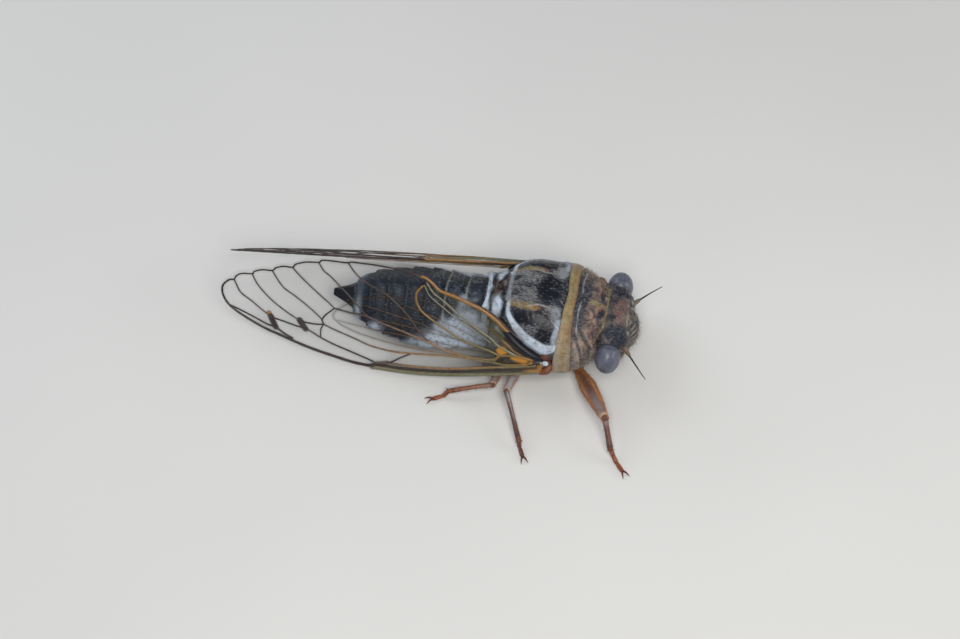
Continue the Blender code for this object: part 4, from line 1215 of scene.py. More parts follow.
@dataclass
class Flanks:
    """The trunk's skin under the back plates: its sides, its underside and the two flaps below the waist."""

    start: float = 2.55
    end: float = 14.2
    rows: int = 260
    around: int = 260
    flap_place: Triple = (13.6, 1.35, 0.78)
    flap_size: Pair2 = (1.35, 1.05)

    def build(self) -> None:
        """Builds the flanks and the flaps."""
        stations = np.linspace(self.start, self.end, self.rows)
        angles = np.linspace(0, 2 * math.pi, self.around, endpoint=False)
        station, angle = np.meshgrid(stations, angles, indexing="ij")
        up = np.sin(angle)
        tuck = -0.42 * ease(-0.15, 0.35, up) - 0.06
        tuck = tuck - 0.35 * ease(11.6, 13, station) * ease(-0.3, 0.2, up)
        flat = np.stack([station, up * 3], -1)
        line, oval = partial(stroke, flat), partial(blotch, flat)
        seams = most(line([(6.75, 2.8), (6.9, 0.5), (6.6, -1.6), (6.5, -3)], 0.1, 0.18),
            line([(8.6, 1.6), (8.9, 0), (9.3, -1.4), (9.2, -2.9)], 0.08, 0.16),
            line([(10.9, 1.4), (11.1, 0), (11.2, -1.6), (11.2, -2.9)], 0.09, 0.16),
            line([(4.4, 0.3), (5, -0.8), (4.9, -2.2)], 0.08, 0.16), line([(7, -1), (8.3, -0.7), (10, -0.9),
            (12.4, -0.7)], 0.06, 0.14), line([(12.9, 2.6), (12.9, 0), (12.8, -2.8)], 0.12, 0.2))
        knobs = (0.22 * oval((7.7, -2), (0.75, 0.55), 0.7) + 0.2 * oval((10.1, -2.1), (0.75, 0.5), 0.7) + 0.12
            * oval((9.9, 0), (0.8, 0.8), 0.7) + 0.12 * oval((7.8, 0.3), (0.7, 0.8), 0.7) + 0.15
            * oval((11.9, -1.9), (0.6, 0.5), 0.7))
        points = TRUNK.rings(stations, angles, tuck - 0.22 * seams + knobs, roof=1.15)
        points += 0.03 * unit(points - place(8, 0, 4)) * wobble(points, 0.4, 8)[..., None]
        marks = {"dark": most(0.85 * seams, 0.85 * ease(0.35, 0.7, up) + 0.7
            * (oval((9.4, 0.9), (0.7, 0.6), 0.5) + oval((7, -0.6), (0.3, 0.9), 0.5))), "warm": 0.85
            * (oval((8, 0.9), (0.55, 0.5), 0.5) + oval((10.4, 0.8), (0.4, 0.5), 0.5)), "pale": 0.35
            * ease(-0.2, -0.9, up), "down": 0.85 * ease(0.5, -0.1, up) + 0.15,
            "wax": (0.7 * oval((12.2, 0.2), (0.5, 1.2), 0.6) + 0.5 * oval((8.4, -1.4), (1.2, 0.6), 0.7))}
        skin = Surface()
        skin.loft(points, marks)
        skin.build("flank_skin", FLANK_FINISH.material(), "thorax", ("prothorax_underside", "thorax_underside"))
        self.build_flaps()

    def build_flaps(self) -> None:
        """The two thin flaps, rounded behind and free of the belly at their rear edge."""
        finish = FLANK_FINISH.material()
        station, spread, height = self.flap_place
        for side in Side:
            reach = np.linspace(0, 1, 40)[:, None] * np.ones(60)
            turn = np.linspace(0, 2 * math.pi, 60)[None] * np.ones((40, 1))
            ahead = self.flap_size[0] * reach * np.cos(turn)
            across = self.flap_size[1] * reach * np.sin(turn)
            level = height - 0.16 * (1 - reach**2) + 0.05 * ease(-0.4, -1.2, ahead) + 0.02 * np.cos(turn * 3) * reach
            outer = place(station - ahead, side.value * spread + across, level)
            skin = Surface()
            skin.shell(outer, outer + np.array([0, 0, 0.12]), {"pale": 0.75 * ease(0.75, 0.95, reach), "warm": 0.55,
                "down": 0.5, "wax": 0.35 * ease(0.8, 0.3, reach)})
            skin.build(f"flap_{side.word}", finish, "thorax", (f"operculum_{side.word}",))


@dataclass
class Abdomen:
    """The ringed abdomen: one skin from the waist to the tip of the tail."""

    start: float = 12.75
    joins: tuple[float, ...] = (13.3, 15.1, 16.9, 18.6, 20.3, 21.9, 23.4, 24.8)
    end: float = 26.7
    rows: int = 420
    around: int = 220

    def shares(self, station: Array) -> tuple[Array, Array]:
        """Finds the ring at stations.

        Args:
            station: The stations.

        Returns:
            Each ring's number, and the share of the way along it.
        """
        edges = np.array([self.start, *self.joins, self.end])
        number = np.clip(np.searchsorted(edges, station, side="right") - 1, 0, len(edges) - 2)
        return number, (station - edges[number]) / (edges[number + 1] - edges[number])

    def build(self) -> None:
        """Builds the skin, each ring ending in a thin pale edge over the next."""
        stations = np.linspace(self.start, self.end, self.rows)
        angles = np.linspace(0, 2 * math.pi, self.around, endpoint=False)
        station, angle = np.meshgrid(stations, angles, indexing="ij")
        up, out = np.sin(angle), np.cos(angle)
        number, share = self.shares(station)
        rise = 0.17 * ease(0, 0.65, share) - 0.04
        lip = ease(0.86, 0.93, share)
        last = (number == len(self.joins)).astype(float)
        swell = (rise + 0.035 * lip) * (1 - last) * ease(27, 24, station)
        fold = ease(0.12, 0, np.abs(up + 0.16)) * ease(26, 24, station)
        swell = swell - 0.2 * fold
        swell += 0.05 * ease(0.9, 1, up) * (1 - last) * ease(0.2, 0.8, share)
        swell += 0.4 * bell(station, 19.2, 4.6) * ease(0.7, 0.1, up)
        points = TRUNK.rings(stations, angles, swell)
        ragged = wobble(points, 0.8, 9)
        points += (0.02 * wobble(points, 0.35, 9))[..., None] * unit(points - place(station, 0, 3))
        tergite = ease(-0.12, 0, up)
        upto = np.interp(station, [13, 15.2, 16.4, 17.6, 19, 20.2], [0.72, 0.86, 0.66, 0.5, 0.3,
            0.05]) - 0.3 * (out > 0)
        patch = ease(0.13, -0.1, up - upto + 0.14 * ragged) * np.interp(station, [17, 18.4, 19.8, 20.6],
            [1, 0.7, 0.35, 0])
        rear_spots = bell(station + 0.3 * ragged, 22.5, 0.95) * bell(up + 0.1 * ragged, 0.12, 0.42) * ease(0.3, 0.7,
            np.abs(out))
        rear_ring = bell(station, 24.3, 0.5) * ease(-0.5, 0.1, up) * (0.12 + 0.6 * ease(0.5, 0.9, np.abs(out)))
        first = ease(18.4, 17.2, station)
        wax = most(patch * ease(-0.75, -0.2, up), rear_spots, rear_ring, 0.3 * (1 - tergite))
        marks = {"pale": np.clip(0.7 * lip * ease(1, 0.97, share) * ease(0.15, 0.4, up) * first, 0, 1) * (1 - last)
            + 0.3 * (1 - tergite) * bell(share, 0.6, 0.5), "warm": 0.6 * (1 - tergite) * ease(1, 0.2, np.abs(out)),
            "dark": np.clip(0.9 * ease(0.2, 0.02, share) + 0.7 * fold + 0.95 * last, 0, 1),
            "down": np.clip((0.12 + 0.38 * first * ease(0, 0.5, ragged + 0.25)) * tergite * ease(0.1, 0.35, share)
            + 0.3 * (1 - tergite), 0, 1) * (1 - 0.9 * last), "wax": np.clip(wax, 0, 1),}
        skin = Surface()
        skin.loft(points, marks)
        self.add_tail(skin)
        names = tuple(f"abdomen_{k}" for k in range(1, 8))
        skin.build("abdomen_skin", ABDOMEN_FINISH.material(), "abdomen", (*names, "abdomen_tip"))

    def add_tail(self, skin: Surface) -> None:
        """Adds the split sheath of the egg layer under the last ring.

        Args:
            skin: Where it is added.
        """
        for side in (-1, 1):
            share = np.linspace(0, 1, 24)
            line = place(23.6 + 2.75 * share, side * (0.24 - 0.14 * share), 1.95 + 0.62 * share)
            skin.tube(line, 0.24 * (1 - 0.55 * share), 0.34 * (1 - 0.5 * share), sides=14,
                marks={"warm": 0.6, "rust": 0.35, "down": 0.4})


# The wings.


class Tone(Enum):
    """The colours of wing veins, as the value of the mark that their finish reads."""

    DARK = 0.0
    BROWN = 0.25
    ORANGE = 0.5
    OLIVE = 0.75
    STRAW = 1.0


@dataclass(frozen=True)
class Vein:
    """One vein: its line in the wing's plane, its widths and tones at its two ends, and how ashy it is."""

    line: Line
    widths: Pair2 = (0.17, 0.15)
    tones: tuple[Tone, Tone] = (Tone.DARK, Tone.DARK)
    ash: float = 0.0
    raised: float = 0.75


FORE_VEINS: dict[str, Vein] = {"costa_root": Vein(((0.5, -0.25), (2.5, -0.95), (4.5, -1.6), (6.6, -2.25),
    (9.1, -2.92), (11.7, -3.5), (13.9, -3.78), (14.9, -3.95)), (0.36, 0.46), (Tone.OLIVE, Tone.OLIVE), 0.2),
    "costal_line": Vein(((0.8, 0.15), (2.6, -0.55), (4.6, -1.2), (6.6, -1.9), (8.7, -2.55), (11.8, -3.2),
    (13.9, -3.45), (15, -3.65)), (0.14, 0.15)), "radius": Vein(((0.9, 0.45), (2.6, -0.2), (4.6, -0.85), (6.6, -1.55),
    (8.7, -2.2), (11.8, -2.85), (13.4, -3.05), (14.5, -3.3)), (0.3, 0.22), (Tone.OLIVE, Tone.BROWN), 0.15),
    "costa_tip": Vein(((14.7, -3.8), (16.5, -3.95), (18.4, -3.85), (20.1, -3.72), (21.7, -3.5), (23.3, -3.2),
    (24.7, -2.95), (26.2, -2.5), (27.4, -2.05), (28.3, -1.55), (28.85, -0.9), (29.05, -0.2), (28.9, 0.3),
    (28.5, 0.75), (28.1, 0.9)), (0.34, 0.2)), "ambient": Vein(((28.1, 0.9), (27.95, 1.3), (27.5, 1.65), (26.6, 1.9),
    (26.45, 2.15), (25.8, 2.5), (24.9, 2.7), (24.65, 3), (24, 3.35), (23.2, 3.5), (22.95, 3.85), (22.1, 4.3),
    (21, 4.6), (20.75, 4.85), (20, 5.02), (18.5, 5.25), (18.2, 5.4), (16.8, 5.62), (15.8, 5.74), (14.2, 5.86),
    (12.9, 5.86), (12, 5.75)), (0.17, 0.19)), "apical_1": Vein(((28.1, 0.9), (27.8, 0.5), (27.3, -0.1), (26.2, -0.6),
    (25.3, -1.1), (24.3, -1.6))), "apical_2": Vein(((26.6, 1.9), (26.3, 1.5), (25.7, 0.9), (24.4, 0), (23.2, -0.6),
    (22.5, -0.9), (21.7, -1.2))), "apical_3": Vein(((24.9, 2.7), (24.4, 2.2), (23.6, 1.5), (22.4, 1), (21.2, 0.4),
    (20.2, -0.2), (19.8, -0.5))), "apical_4": Vein(((23.2, 3.5), (22.6, 3.1), (21.6, 2.5), (20.4, 1.8), (19.5, 1.3),
    (18.9, 0.9))), "apical_5": Vein(((21, 4.6), (20.4, 4), (19.6, 3.6), (17.8, 2.4), (16.1, 1.1))),
    "apical_6": Vein(((18.5, 5.3), (17.7, 4.6), (16.6, 4), (14.7, 3.45), (13.2, 2.6), (12.3, 1.9), (11.3, 0.9),
    (10.4, 0.15)), (0.17, 0.16), (Tone.DARK, Tone.BROWN)), "cubitus": Vein(((18.9, 0.9), (17.5, 0.9), (16.1, 1),
    (14.8, 0.75), (14.1, 0.65), (12.3, 0.4), (10.3, 0.08), (8.5, -0.3), (6.4, -0.35), (5, -0.15), (4.3, 0.1)),
    (0.19, 0.24), (Tone.DARK, Tone.OLIVE), 0.1), "cross_cubitus": Vein(((18.9, 0.9), (19.3, 0.4), (19.6, 0),
    (19.8, -0.5), (19.6, -0.9)), (0.16, 0.18)), "media": Vein(((19.6, -0.9), (18.8, -1.1), (17.7, -1.3), (16.6, -1.5),
    (15.4, -1.75), (14.1, -1.8), (13.1, -1.75), (11.7, -1.5), (9.3, -0.95), (7.2, -0.6), (5.2, -0.4), (4.5, -0.3)),
    (0.17, 0.22), (Tone.DARK, Tone.OLIVE), 0.1), "media_link": Vein(((19.6, -0.9), (20.3, -1.1), (21.2, -1.2),
    (21.7, -1.2)), (0.18, 0.2)), "second_cross": Vein(((21.75, -1.15), (21.5, -1.45), (21.15, -1.85)), (0.42, 0.42)),
    "sector_link": Vein(((21.2, -1.8), (22, -1.8), (23.1, -1.7), (23.8, -1.65), (24.3, -1.6)), (0.18, 0.18)),
    "first_cross": Vein(((24.35, -1.55), (24.15, -1.95), (23.8, -2.5)), (0.44, 0.44)),
    "radial_tip": Vein(((23.8, -2.5), (24.6, -2.45), (25.7, -2.15), (26.9, -1.85), (27.7, -1.7), (28.3, -1.6)),
    (0.19, 0.17)), "radial_back": Vein(((23.8, -2.5), (23.4, -2.7), (22.9, -2.95), (22.2, -3.2)), (0.22, 0.28)),
    "sector": Vein(((21.2, -1.8), (20.8, -1.9), (19.7, -2.3), (18.6, -2.6), (17.5, -2.8), (16.4, -3), (15.3, -3.2),
    (14.5, -3.4)), (0.19, 0.2)), "cross_media": Vein(((19.7, -2.3), (19.8, -1.5), (19.6, -0.9)), (0.15, 0.15)),
    "node": Vein(((14.7, -3.8), (14.5, -3.4), (13.7, -3.1), (13.2, -2.85), (12.5, -2.2), (11.7, -1.55)), (0.2, 0.17)),
    "claval_margin": Vein(((12, 5.75), (11.6, 5.72), (11, 5.42), (10.5, 5.05), (10, 4.85), (8.9, 4.72), (7.8, 4.5),
    (6.6, 4.25), (5.8, 3.95), (4.8, 3.45), (4.1, 2.95), (3.3, 2.4), (2, 1.7), (0.9, 0.95)), (0.3, 0.5),
    # The dark tube outside the claval margin at the wing's base is a painted shadow of the gap under the wing's hind
    # edge, not a vein.
    (Tone.ORANGE, Tone.ORANGE)), "claval_gap_shadow": Vein(((7.2, 4.55), (5.8, 4.2), (4.8, 3.68), (4.1, 3.2), (3.3, 2.65),
    (2, 1.95), (0.9, 1.2)), (0.14, 0.3)), "claval_vein": Vein(((11.4, 5.3), (10.7, 4.6), (10.2, 4.35), (9.4, 3.95),
    (8.4, 3.4), (7.4, 2.95), (6.2, 2.4), (5, 1.85), (4.3, 1.4), (2.6, 0.85)), (0.2, 0.3), (Tone.OLIVE, Tone.OLIVE),
    0.2), "claval_fold": Vein(((11.6, 5.1), (10.9, 4.25), (9.6, 3.55), (8.5, 3), (7.4, 2.55), (6.2, 2.05), (5, 1.5)),
    (0.12, 0.14), (Tone.STRAW, Tone.STRAW), 0.5, 0.4), "loop": Vein(((11.7, 5), (12.05, 4.45), (12.1, 4), (11.9, 3.4),
    (11.4, 2.8), (10.5, 2.3), (9.3, 1.8), (8.2, 1.35), (7, 1), (5.9, 0.85), (4.8, 0.7), (4.1, 0.5)), (0.2, 0.26),
    (Tone.ORANGE, Tone.OLIVE)), "arculus": Vein(((4.5, -0.3), (4.35, 0.1), (4.1, 0.45)), (0.26, 0.26),
    (Tone.OLIVE, Tone.ORANGE)), "basal": Vein(((4.5, -0.3), (3.4, -0.25), (2.2, 0.1), (1.2, 0.55)), (0.26, 0.34),
    (Tone.OLIVE, Tone.ORANGE)), "basal_rear": Vein(((4.1, 0.45), (3.2, 0.75), (2.2, 0.85), (1.2, 0.85)), (0.24, 0.34),
    (Tone.OLIVE, Tone.ORANGE)),}
FORE_OUTLINE = ((0.3, -0.35), (2.5, -1.15), (4.5, -1.82), (6.6, -2.5), (9.1, -3.16), (11.7, -3.75), (13.9, -4),
    (14.9, -4.12), (16.5, -4.1), (18.4, -4.02), (20.1, -3.88), (21.7, -3.66), (23.3, -3.36), (24.7, -3.1),
    (26.2, -2.66), (27.4, -2.22), (28.35, -1.7), (29, -0.95), (29.22, -0.2), (29.12, 0.45), (28.8, 0.95),
    (28.35, 1.45), (27.7, 1.95), (26.8, 2.25), (26, 2.75), (25, 3.1), (24.2, 3.65), (23.2, 3.95), (22.2, 4.62),
    (21, 5), (20, 5.3), (18.5, 5.6), (17, 5.87), (15.4, 6.02), (13.8, 6.1), (12.6, 6.05), (12, 5.88), (11.3, 5.72),
    (10.6, 5.25), (10, 5.08), (8.9, 4.95), (7.8, 4.75), (6.6, 4.5), (5.8, 4.2), (4.8, 3.7), (4.1, 3.22), (3.3, 2.68),
    (2, 2), (0.9, 1.3), (0.3, 0.9))
HIND_VEINS: dict[str, Vein] = {"front": Vein(((3.4, 0.3), (5.4, -0.3), (8, -0.85), (12.5, -1.3), (16.4, -1.2),
    (18.3, -0.8)), (0.22, 0.16), (Tone.OLIVE, Tone.BROWN)), "rim": Vein(((18.3, -0.8), (19, -0.3), (18.9, 0.3),
    (18.2, 1.1), (16.4, 2.3), (14.6, 2.95), (12.9, 3.3), (11.2, 3.45), (9.6, 3.2)), (0.13, 0.12),
    (Tone.BROWN, Tone.BROWN)), "sector": Vein(((4.6, 0.2), (8, 0), (12.6, -0.25), (15.8, -0.45), (18.6, -0.5)),
    (0.16, 0.12), (Tone.OLIVE, Tone.BROWN)), "media": Vein(((4.6, 0.5), (8, 0.7), (12.6, 0.7), (15, 0.6),
    (18.7, 0.5)), (0.16, 0.12), (Tone.OLIVE, Tone.BROWN)), "fork": Vein(((8, 0.7), (11.4, 1.3), (14.6, 1.5),
    (17.4, 1.6)), (0.14, 0.12), (Tone.OLIVE, Tone.BROWN)), "cubitus": Vein(((4.8, 0.8), (7.6, 1.6), (11.4, 2.4),
    (15, 2.8)), (0.15, 0.12), (Tone.OLIVE, Tone.BROWN)), "anal": Vein(((4.8, 1), (7, 2.2), (9.6, 3)), (0.16, 0.12),
    (Tone.ORANGE, Tone.BROWN)), "cross_1": Vein(((13.2, -0.3), (13.6, 0.2), (13.2, 0.7)), (0.12, 0.12)),
    "cross_2": Vein(((12.6, 0.7), (13, 1.1), (12.8, 1.4)), (0.12, 0.12)),}
HIND_OUTLINE = ((3.2, 0), (4.6, -0.25), (6, -0.62), (8, -1.02), (10, -1.3), (12.5, -1.5), (14.5, -1.5), (16.4, -1.4),
    (18.2, -1), (19.1, -0.4), (19.2, 0.3), (18.5, 1.2), (16.6, 2.55), (14.6, 3.25), (12.9, 3.6), (11.2, 3.78),
    (9.4, 3.5), (7.6, 2.8), (6, 2), (4.6, 1.3), (3.3, 0.8))


@dataclass(frozen=True)
class WingPlane:
    """Where the folded wing's plane lies: a roof that slopes from the back's middle to the side, slightly swollen."""

    root: Triple = (7.3, 5.3, 3.5)
    tip: Triple = (36.35, 1.85, 3.95)
    slope: float = math.radians(58)
    bulge: float = 0.55
    reach: float = 31.0

    def axes(self) -> tuple[Array, Array, Array]:
        """The left wing's directions.

        Returns:
            Unit vectors along it, across it and out of it.
        """
        root, tip = (np.array([-p[0], p[1], p[2]]) for p in (self.root, self.tip))
        along = unit(tip - root)
        up = np.array([0, -math.cos(self.slope), math.sin(self.slope)])
        across = unit(up - along * (up @ along))
        out = unit(np.cross(across, along))
        return along, across, out if out[1] > 0 else -out

    def points(self, u: Array, v: Array, rise: Array | float, side: Side) -> Array:
        """Points of a wing.

        Args:
            u: Their places along the wing.
            v: Their places across it.
            rise: How far they stand above its middle sheet.
            side: The wing's side.

        Returns:
            The points in millimetres.
        """
        along, across, out = self.axes()
        edges = np.asarray(FORE_EDGES)
        low, high = np.interp(u, edges[:, 0], edges[:, 1]), np.interp(u, edges[:, 0], edges[:, 2])
        share = np.minimum(1, np.abs(v - (low + high) / 2) / most((high - low) / 2, 0.5))
        swell = self.bulge * np.sin(math.pi * np.clip((u + 2.5) / self.reach, 0, 1)) ** 0.5 * (1 - share**2)
        flat = (np.array([0, self.root[1], self.root[2]]) + u[..., None] * along + v[..., None] * across
            + (swell + rise)[..., None] * out)
        origin = place(self.root[0], 0, 0)
        return origin + flat * np.array([1, side.value, 1])

    def outward(self, side: Side) -> Array:
        """The direction out of a wing."""
        return self.axes()[2] * np.array([1, side.value, 1])


def spans(outline: tuple, count: int) -> Array:
    """The lowest and highest v of an outline for rows of u.

    Args:
        outline: A closed outline as (u, v) pairs.
        count: How many rows of u.

    Returns:
        Rows of u, lowest v and highest v.
    """
    rim = curve([*outline, outline[0]], 6)
    start, end = rim[:, 0].min(), rim[:, 0].max()
    share = np.linspace(0, 1, count)
    u = start + (end - start) * (0.02 * share + 0.98 * np.sin(share * math.pi / 2) ** 1.2)
    rows = []
    for value in np.clip(u, start + 1e-4, end - 1e-4):
        a, b = rim[:-1], rim[1:]
        hit = (a[:, 0] - value) * (b[:, 0] - value) <= 0
        hit &= a[:, 0] != b[:, 0]
        v = a[hit, 1] + (b[hit, 1] - a[hit, 1]) * (value - a[hit, 0]) / (b[hit, 0] - a[hit, 0])
        rows.append((value, v.min(), v.max()))
    return np.array(rows)


FORE_EDGES = spans(FORE_OUTLINE, 200)


@dataclass
class Wing:
    """One kind of wing: a clear film between raised veins."""

    name: str
    outline: Line
    veins: dict[str, Vein]
    depth: float = 0.0
    film: float = 0.05
    rows: int = 420
    columns: int = 90
    pillow: float = 0.07
    slender: float = 0.8
    plane: WingPlane = WingPlane()

    def build(self, side: Side, film: Material, ribs: Material, node: str) -> None:
        """Builds the film and the veins of one side.

        Args:
            side: The side that the wing is on.
            film: The finish of the film.
            ribs: The finish of the veins.
            node: The solid that the film stands for.
        """
        edges = spans(self.outline, self.rows)
        share = np.linspace(0, 1, self.columns)
        u = edges[:, :1] * np.ones(self.columns)
        v = edges[:, 1:2] + (edges[:, 2:3] - edges[:, 1:2]) * share
        flat = np.stack([u, v], -1)
        nearest = np.minimum.reduce([distance(flat, curve(vein.line, 3)) for vein in self.veins.values()])
        rise = self.pillow * ease(0, 0.9, nearest) * np.sin(u * 1.7 + v * 2.3)
        rise += 0.03 * ease(0, 0.6, nearest) * wobble(np.stack([u, v, 0 * u], -1), 0.9, 11) - self.depth
        skin = Surface()
        faces = (self.plane.points(u, v, rise + half, side) for half in (self.film / 2, -self.film / 2))
        skin.shell(*faces, self.marks(flat, nearest))
        skin.build(f"{self.name}_film_{side.word}", film, "wing", (node,))
        net = Surface()
        for vein in self.veins.values():
            self.add_vein(net, vein, side)
        net.build(f"{self.name}_veins_{side.word}", ribs, "wing")

    def marks(self, flat: Array, nearest: Array) -> dict[str, Array]:
        """The marks of the film.

        Args:
            flat: Places as u and v.
            nearest: How far each is from a vein.

        Returns:
            The marks by name.
        """
        u, v = flat[..., 0], flat[..., 1]
        smoke = np.zeros(u.shape)
        for name in ("first_cross", "second_cross"):
            if name in self.veins:
                smoke = most(smoke, stroke(flat, self.veins[name].line, 0.42, 0.16))
        fore = float("costa_root" in self.veins)
        if fore:
            # The strokes through (3.5, 0.6) and (5.2, -0.75), round the pads at the wing's base, are painted shadow;
            # the others are smoky patches.
            smoke = most(smoke, 0.6 * stroke(flat, [(14.6, -3.6), (13.6, -3.1)], 0.3, 0.2),
                stroke(flat, [(0.6, 0.9), (1.6, 1.25), (2.9, 1.75), (3.6, 2.1)], 0.55, 0.2), 0.8
                * stroke(flat, [(3.5, 0.6), (3, 0.2), (2, 0.1), (0.9, 0.3)], 0.4, 0.2), 0.75
                * stroke(flat, [(5.2, -0.75), (3.4, -0.4), (1.4, 0.15)], 0.35, 0.15), 0.55
                * stroke(flat, [(14.2, -3.55), (9, -2.55), (4.6, -1.2)], 0.16, 0.1))
        amber = most(0.7 * ease(2.2, 1, u), 0.8 * blotch(flat, (24.55, -1.25), (0.22, 0.2), 0.5) * fore,
            blotch(flat, (3.91, 1.02), (0.5, 0.42), 0.3) * fore, blotch(flat, (2.3, 0.6), (0.8, 0.36), 0.3) * fore)
        costal = stroke(flat, [(0.8, -0.1), (4.6, -1.4), (8.7, -2.75), (11.8, -3.4), (14.6, -3.8)], 0.6, 0.1) * fore
        claval = ease(0, 0.5, v - np.interp(u, [0, 4.3, 8.4, 11.4], [0.4, 1.4, 3.4, 5.3])) * ease(12.2, 10.5, u) * fore
        return {"smoke": smoke, "amber": np.clip(amber, 0, 1), "edge": 0.75 * ease(0.3, 0.05, nearest),
            "milk": np.clip(0.75 * costal + 0.35 * claval + 0.25 * ease(8, 4, u), 0, 1)}

    def add_vein(self, net: Surface, vein: Vein, side: Side) -> None:
        """Adds one vein as an oval rib that shows on both faces of the film.

        Args:
            net: Where it is added.
            vein: The vein.
            side: The wing's side.
        """
        line = curve(vein.line, 10)
        share = np.linspace(0, 1, len(line))
        middle = self.plane.points(line[:, 0], line[:, 1], np.full(len(line), -self.depth), side)
        wide = np.interp(share, [0, 1], vein.widths) / 2 * self.slender * (1 + 0.06
            * np.sin(np.arange(len(line)) * 0.9))
        tone = np.interp(share, [0, 1], [kind.value for kind in vein.tones])
        net.tube(middle, wide, wide * vein.raised, up=self.plane.outward(side), sides=12,
            marks={"tone": tone[:, None], "ash": vein.ash})


@dataclass
class WingRoots:
    """The small hard plates and soft pads between the back and each wing."""

    pads: tuple = (((8.15, 4.75, 3.95), (0.62, 0.42, 0.4), {"warm": 1.0}),
        ((9.5, 4.55, 4.15), (0.8, 0.36, 0.42), {"warm": 1, "rust": 0.2}),
        ((7.2, 4.75, 3.9), (0.5, 0.3, 0.5), {"rust": 1, "dark": 0.5}),
        ((7.37, 4.95, 4.14), (0.3, 0.2, 0.3), {"pale": 0.9, "wax": 0.9}),
        ((7.42, 4.6, 4.65), (0.45, 0.3, 0.35), {"rust": 0.9, "dark": 0.3}),
        ((10.9, 4.15, 4.4), (0.75, 0.3, 0.4), {"warm": 0.7, "rust": 0.5}))
    straps: tuple = ((((7.6, 4.75, 4.35), (8.5, 4.7, 4.75), (9.7, 4.25, 5.2), (10.8, 3.55, 5.7), (11.7, 2.9, 5.9)),
        0.38, {"dark": 1.0}), (((7.9, 4.75, 4.3), (9.4, 4.45, 4.75), (10.7, 3.85, 5.35), (12, 3.05, 5.75)), 0.13,
        {"pale": 0.9, "down": 0.5}), (((8, 4.9, 4.05), (9.6, 4.65, 4.5), (11, 4.05, 5.15), (12.6, 3.1, 5.6)), 0.2,
        {"warm": 0.9, "dark": 0.3}), (((6.9, 4.9, 3.9), (7.2, 5.25, 3.5), (8, 5.3, 3.2)), 0.34,
        {"rust": 0.8, "warm": 0.5}), (((7.3, 4.7, 4.2), (8.2, 5, 4), (9, 5.1, 3.95)), 0.3,
        {"dark": 0.9, "rust": 0.4}))

    def build(self) -> None:
        """Builds the plates of both sides."""
        finish = FLANK_FINISH.material()
        for side in Side:
            skin = Surface()
            for (station, out, height), radii, marks in self.pads:
                skin.ball(place(station, side.value * out, height), radii, rows=20, marks=marks, lumps=0.12)
            for line, radius, marks in self.straps:
                way = curve([(s, side.value * o, h) for s, o, h in line], 10)
                share = np.linspace(0, 1, len(way))
                skin.tube(place(*way.T), radius * (0.55 + 0.45 * np.sin(math.pi * share) ** 0.5), sides=14, marks=marks)
            skin.build(f"wing_root_{side.word}", finish, "thorax")


# The legs.


class Pair(Enum):
    """The three pairs of legs."""

    FRONT = "front"
    MIDDLE = "middle"
    HIND = "hind"


@dataclass(frozen=True)
class LegShape:
    """The radii of a pair's thigh at the hip, its middle and the knee, and of its shin, and its spines."""

    thigh: Triple
    shin: Triple = (0.24, 0.19, 0.24)
    thigh_thorns: tuple[Triple, ...] = ()
    shin_thorns: tuple[Triple, ...] = ()
    streak: float = 0.6
    darker_shin: float = 0.0
    grey: float = 0.0
    dusky: float = 0.1


LEG_SHAPES: dict[Pair, LegShape] = {Pair.FRONT: LegShape((0.48, 0.78, 0.44), (0.26, 0.24, 0.27),
    ((0.42, 0.8, 0.2), (0.74, 0.75, 0.18), (0.9, 0.3, 0.1)), streak=0.8, darker_shin=0.85),
    Pair.MIDDLE: LegShape((0.38, 0.4, 0.33), streak=0.9, darker_shin=0.85, grey=0.9, dusky=0.55),
    Pair.HIND: LegShape((0.36, 0.38, 0.32), (0.22, 0.18, 0.22), (),
    ((0.3, 0.42, 0.07), (0.5, 0.42, 0.07), (0.68, 0.45, 0.07), (0.84, 0.45, 0.07)), streak=0.75, darker_shin=0.5,
    grey=0.2),}
LEG_LINES: dict[tuple[Pair, Side], tuple] = {(Pair.FRONT, Side.RIGHT): ((4.9, 2.9, 0.95), (1.6, 8.45, 2.52),
    (0.75, 10.5, 0.95), (-0.8, 12.3, 0)), (Pair.MIDDLE, Side.RIGHT): ((9.2, 2.6, 0.85), (10.4, 6.75, 1.7),
    (8.6, 10.9, 0.8), (7.9, 12.4, 0)), (Pair.HIND, Side.RIGHT): ((11.4, 2.5, 0.8), (11.7, 6, 1.1), (15.4, 7.1, 0.75),
    (17, 7.9, 0)), (Pair.FRONT, Side.LEFT): ((5.5, 2, 0.72), (4.1, 5.85, 1.4), (2, 4.4, 0.75), (1.4, 2.2, 0)),
    (Pair.MIDDLE, Side.LEFT): ((9.2, 2.4, 0.8), (10.3, 6, 1.3), (6.9, 6.7, 0.8), (5.3, 6, 0)),
    (Pair.HIND, Side.LEFT): ((11.4, 2.5, 0.8), (12.2, 5.1, 0.75), (16.2, 4.5, 0.5), (17.9, 4.3, 0)),}


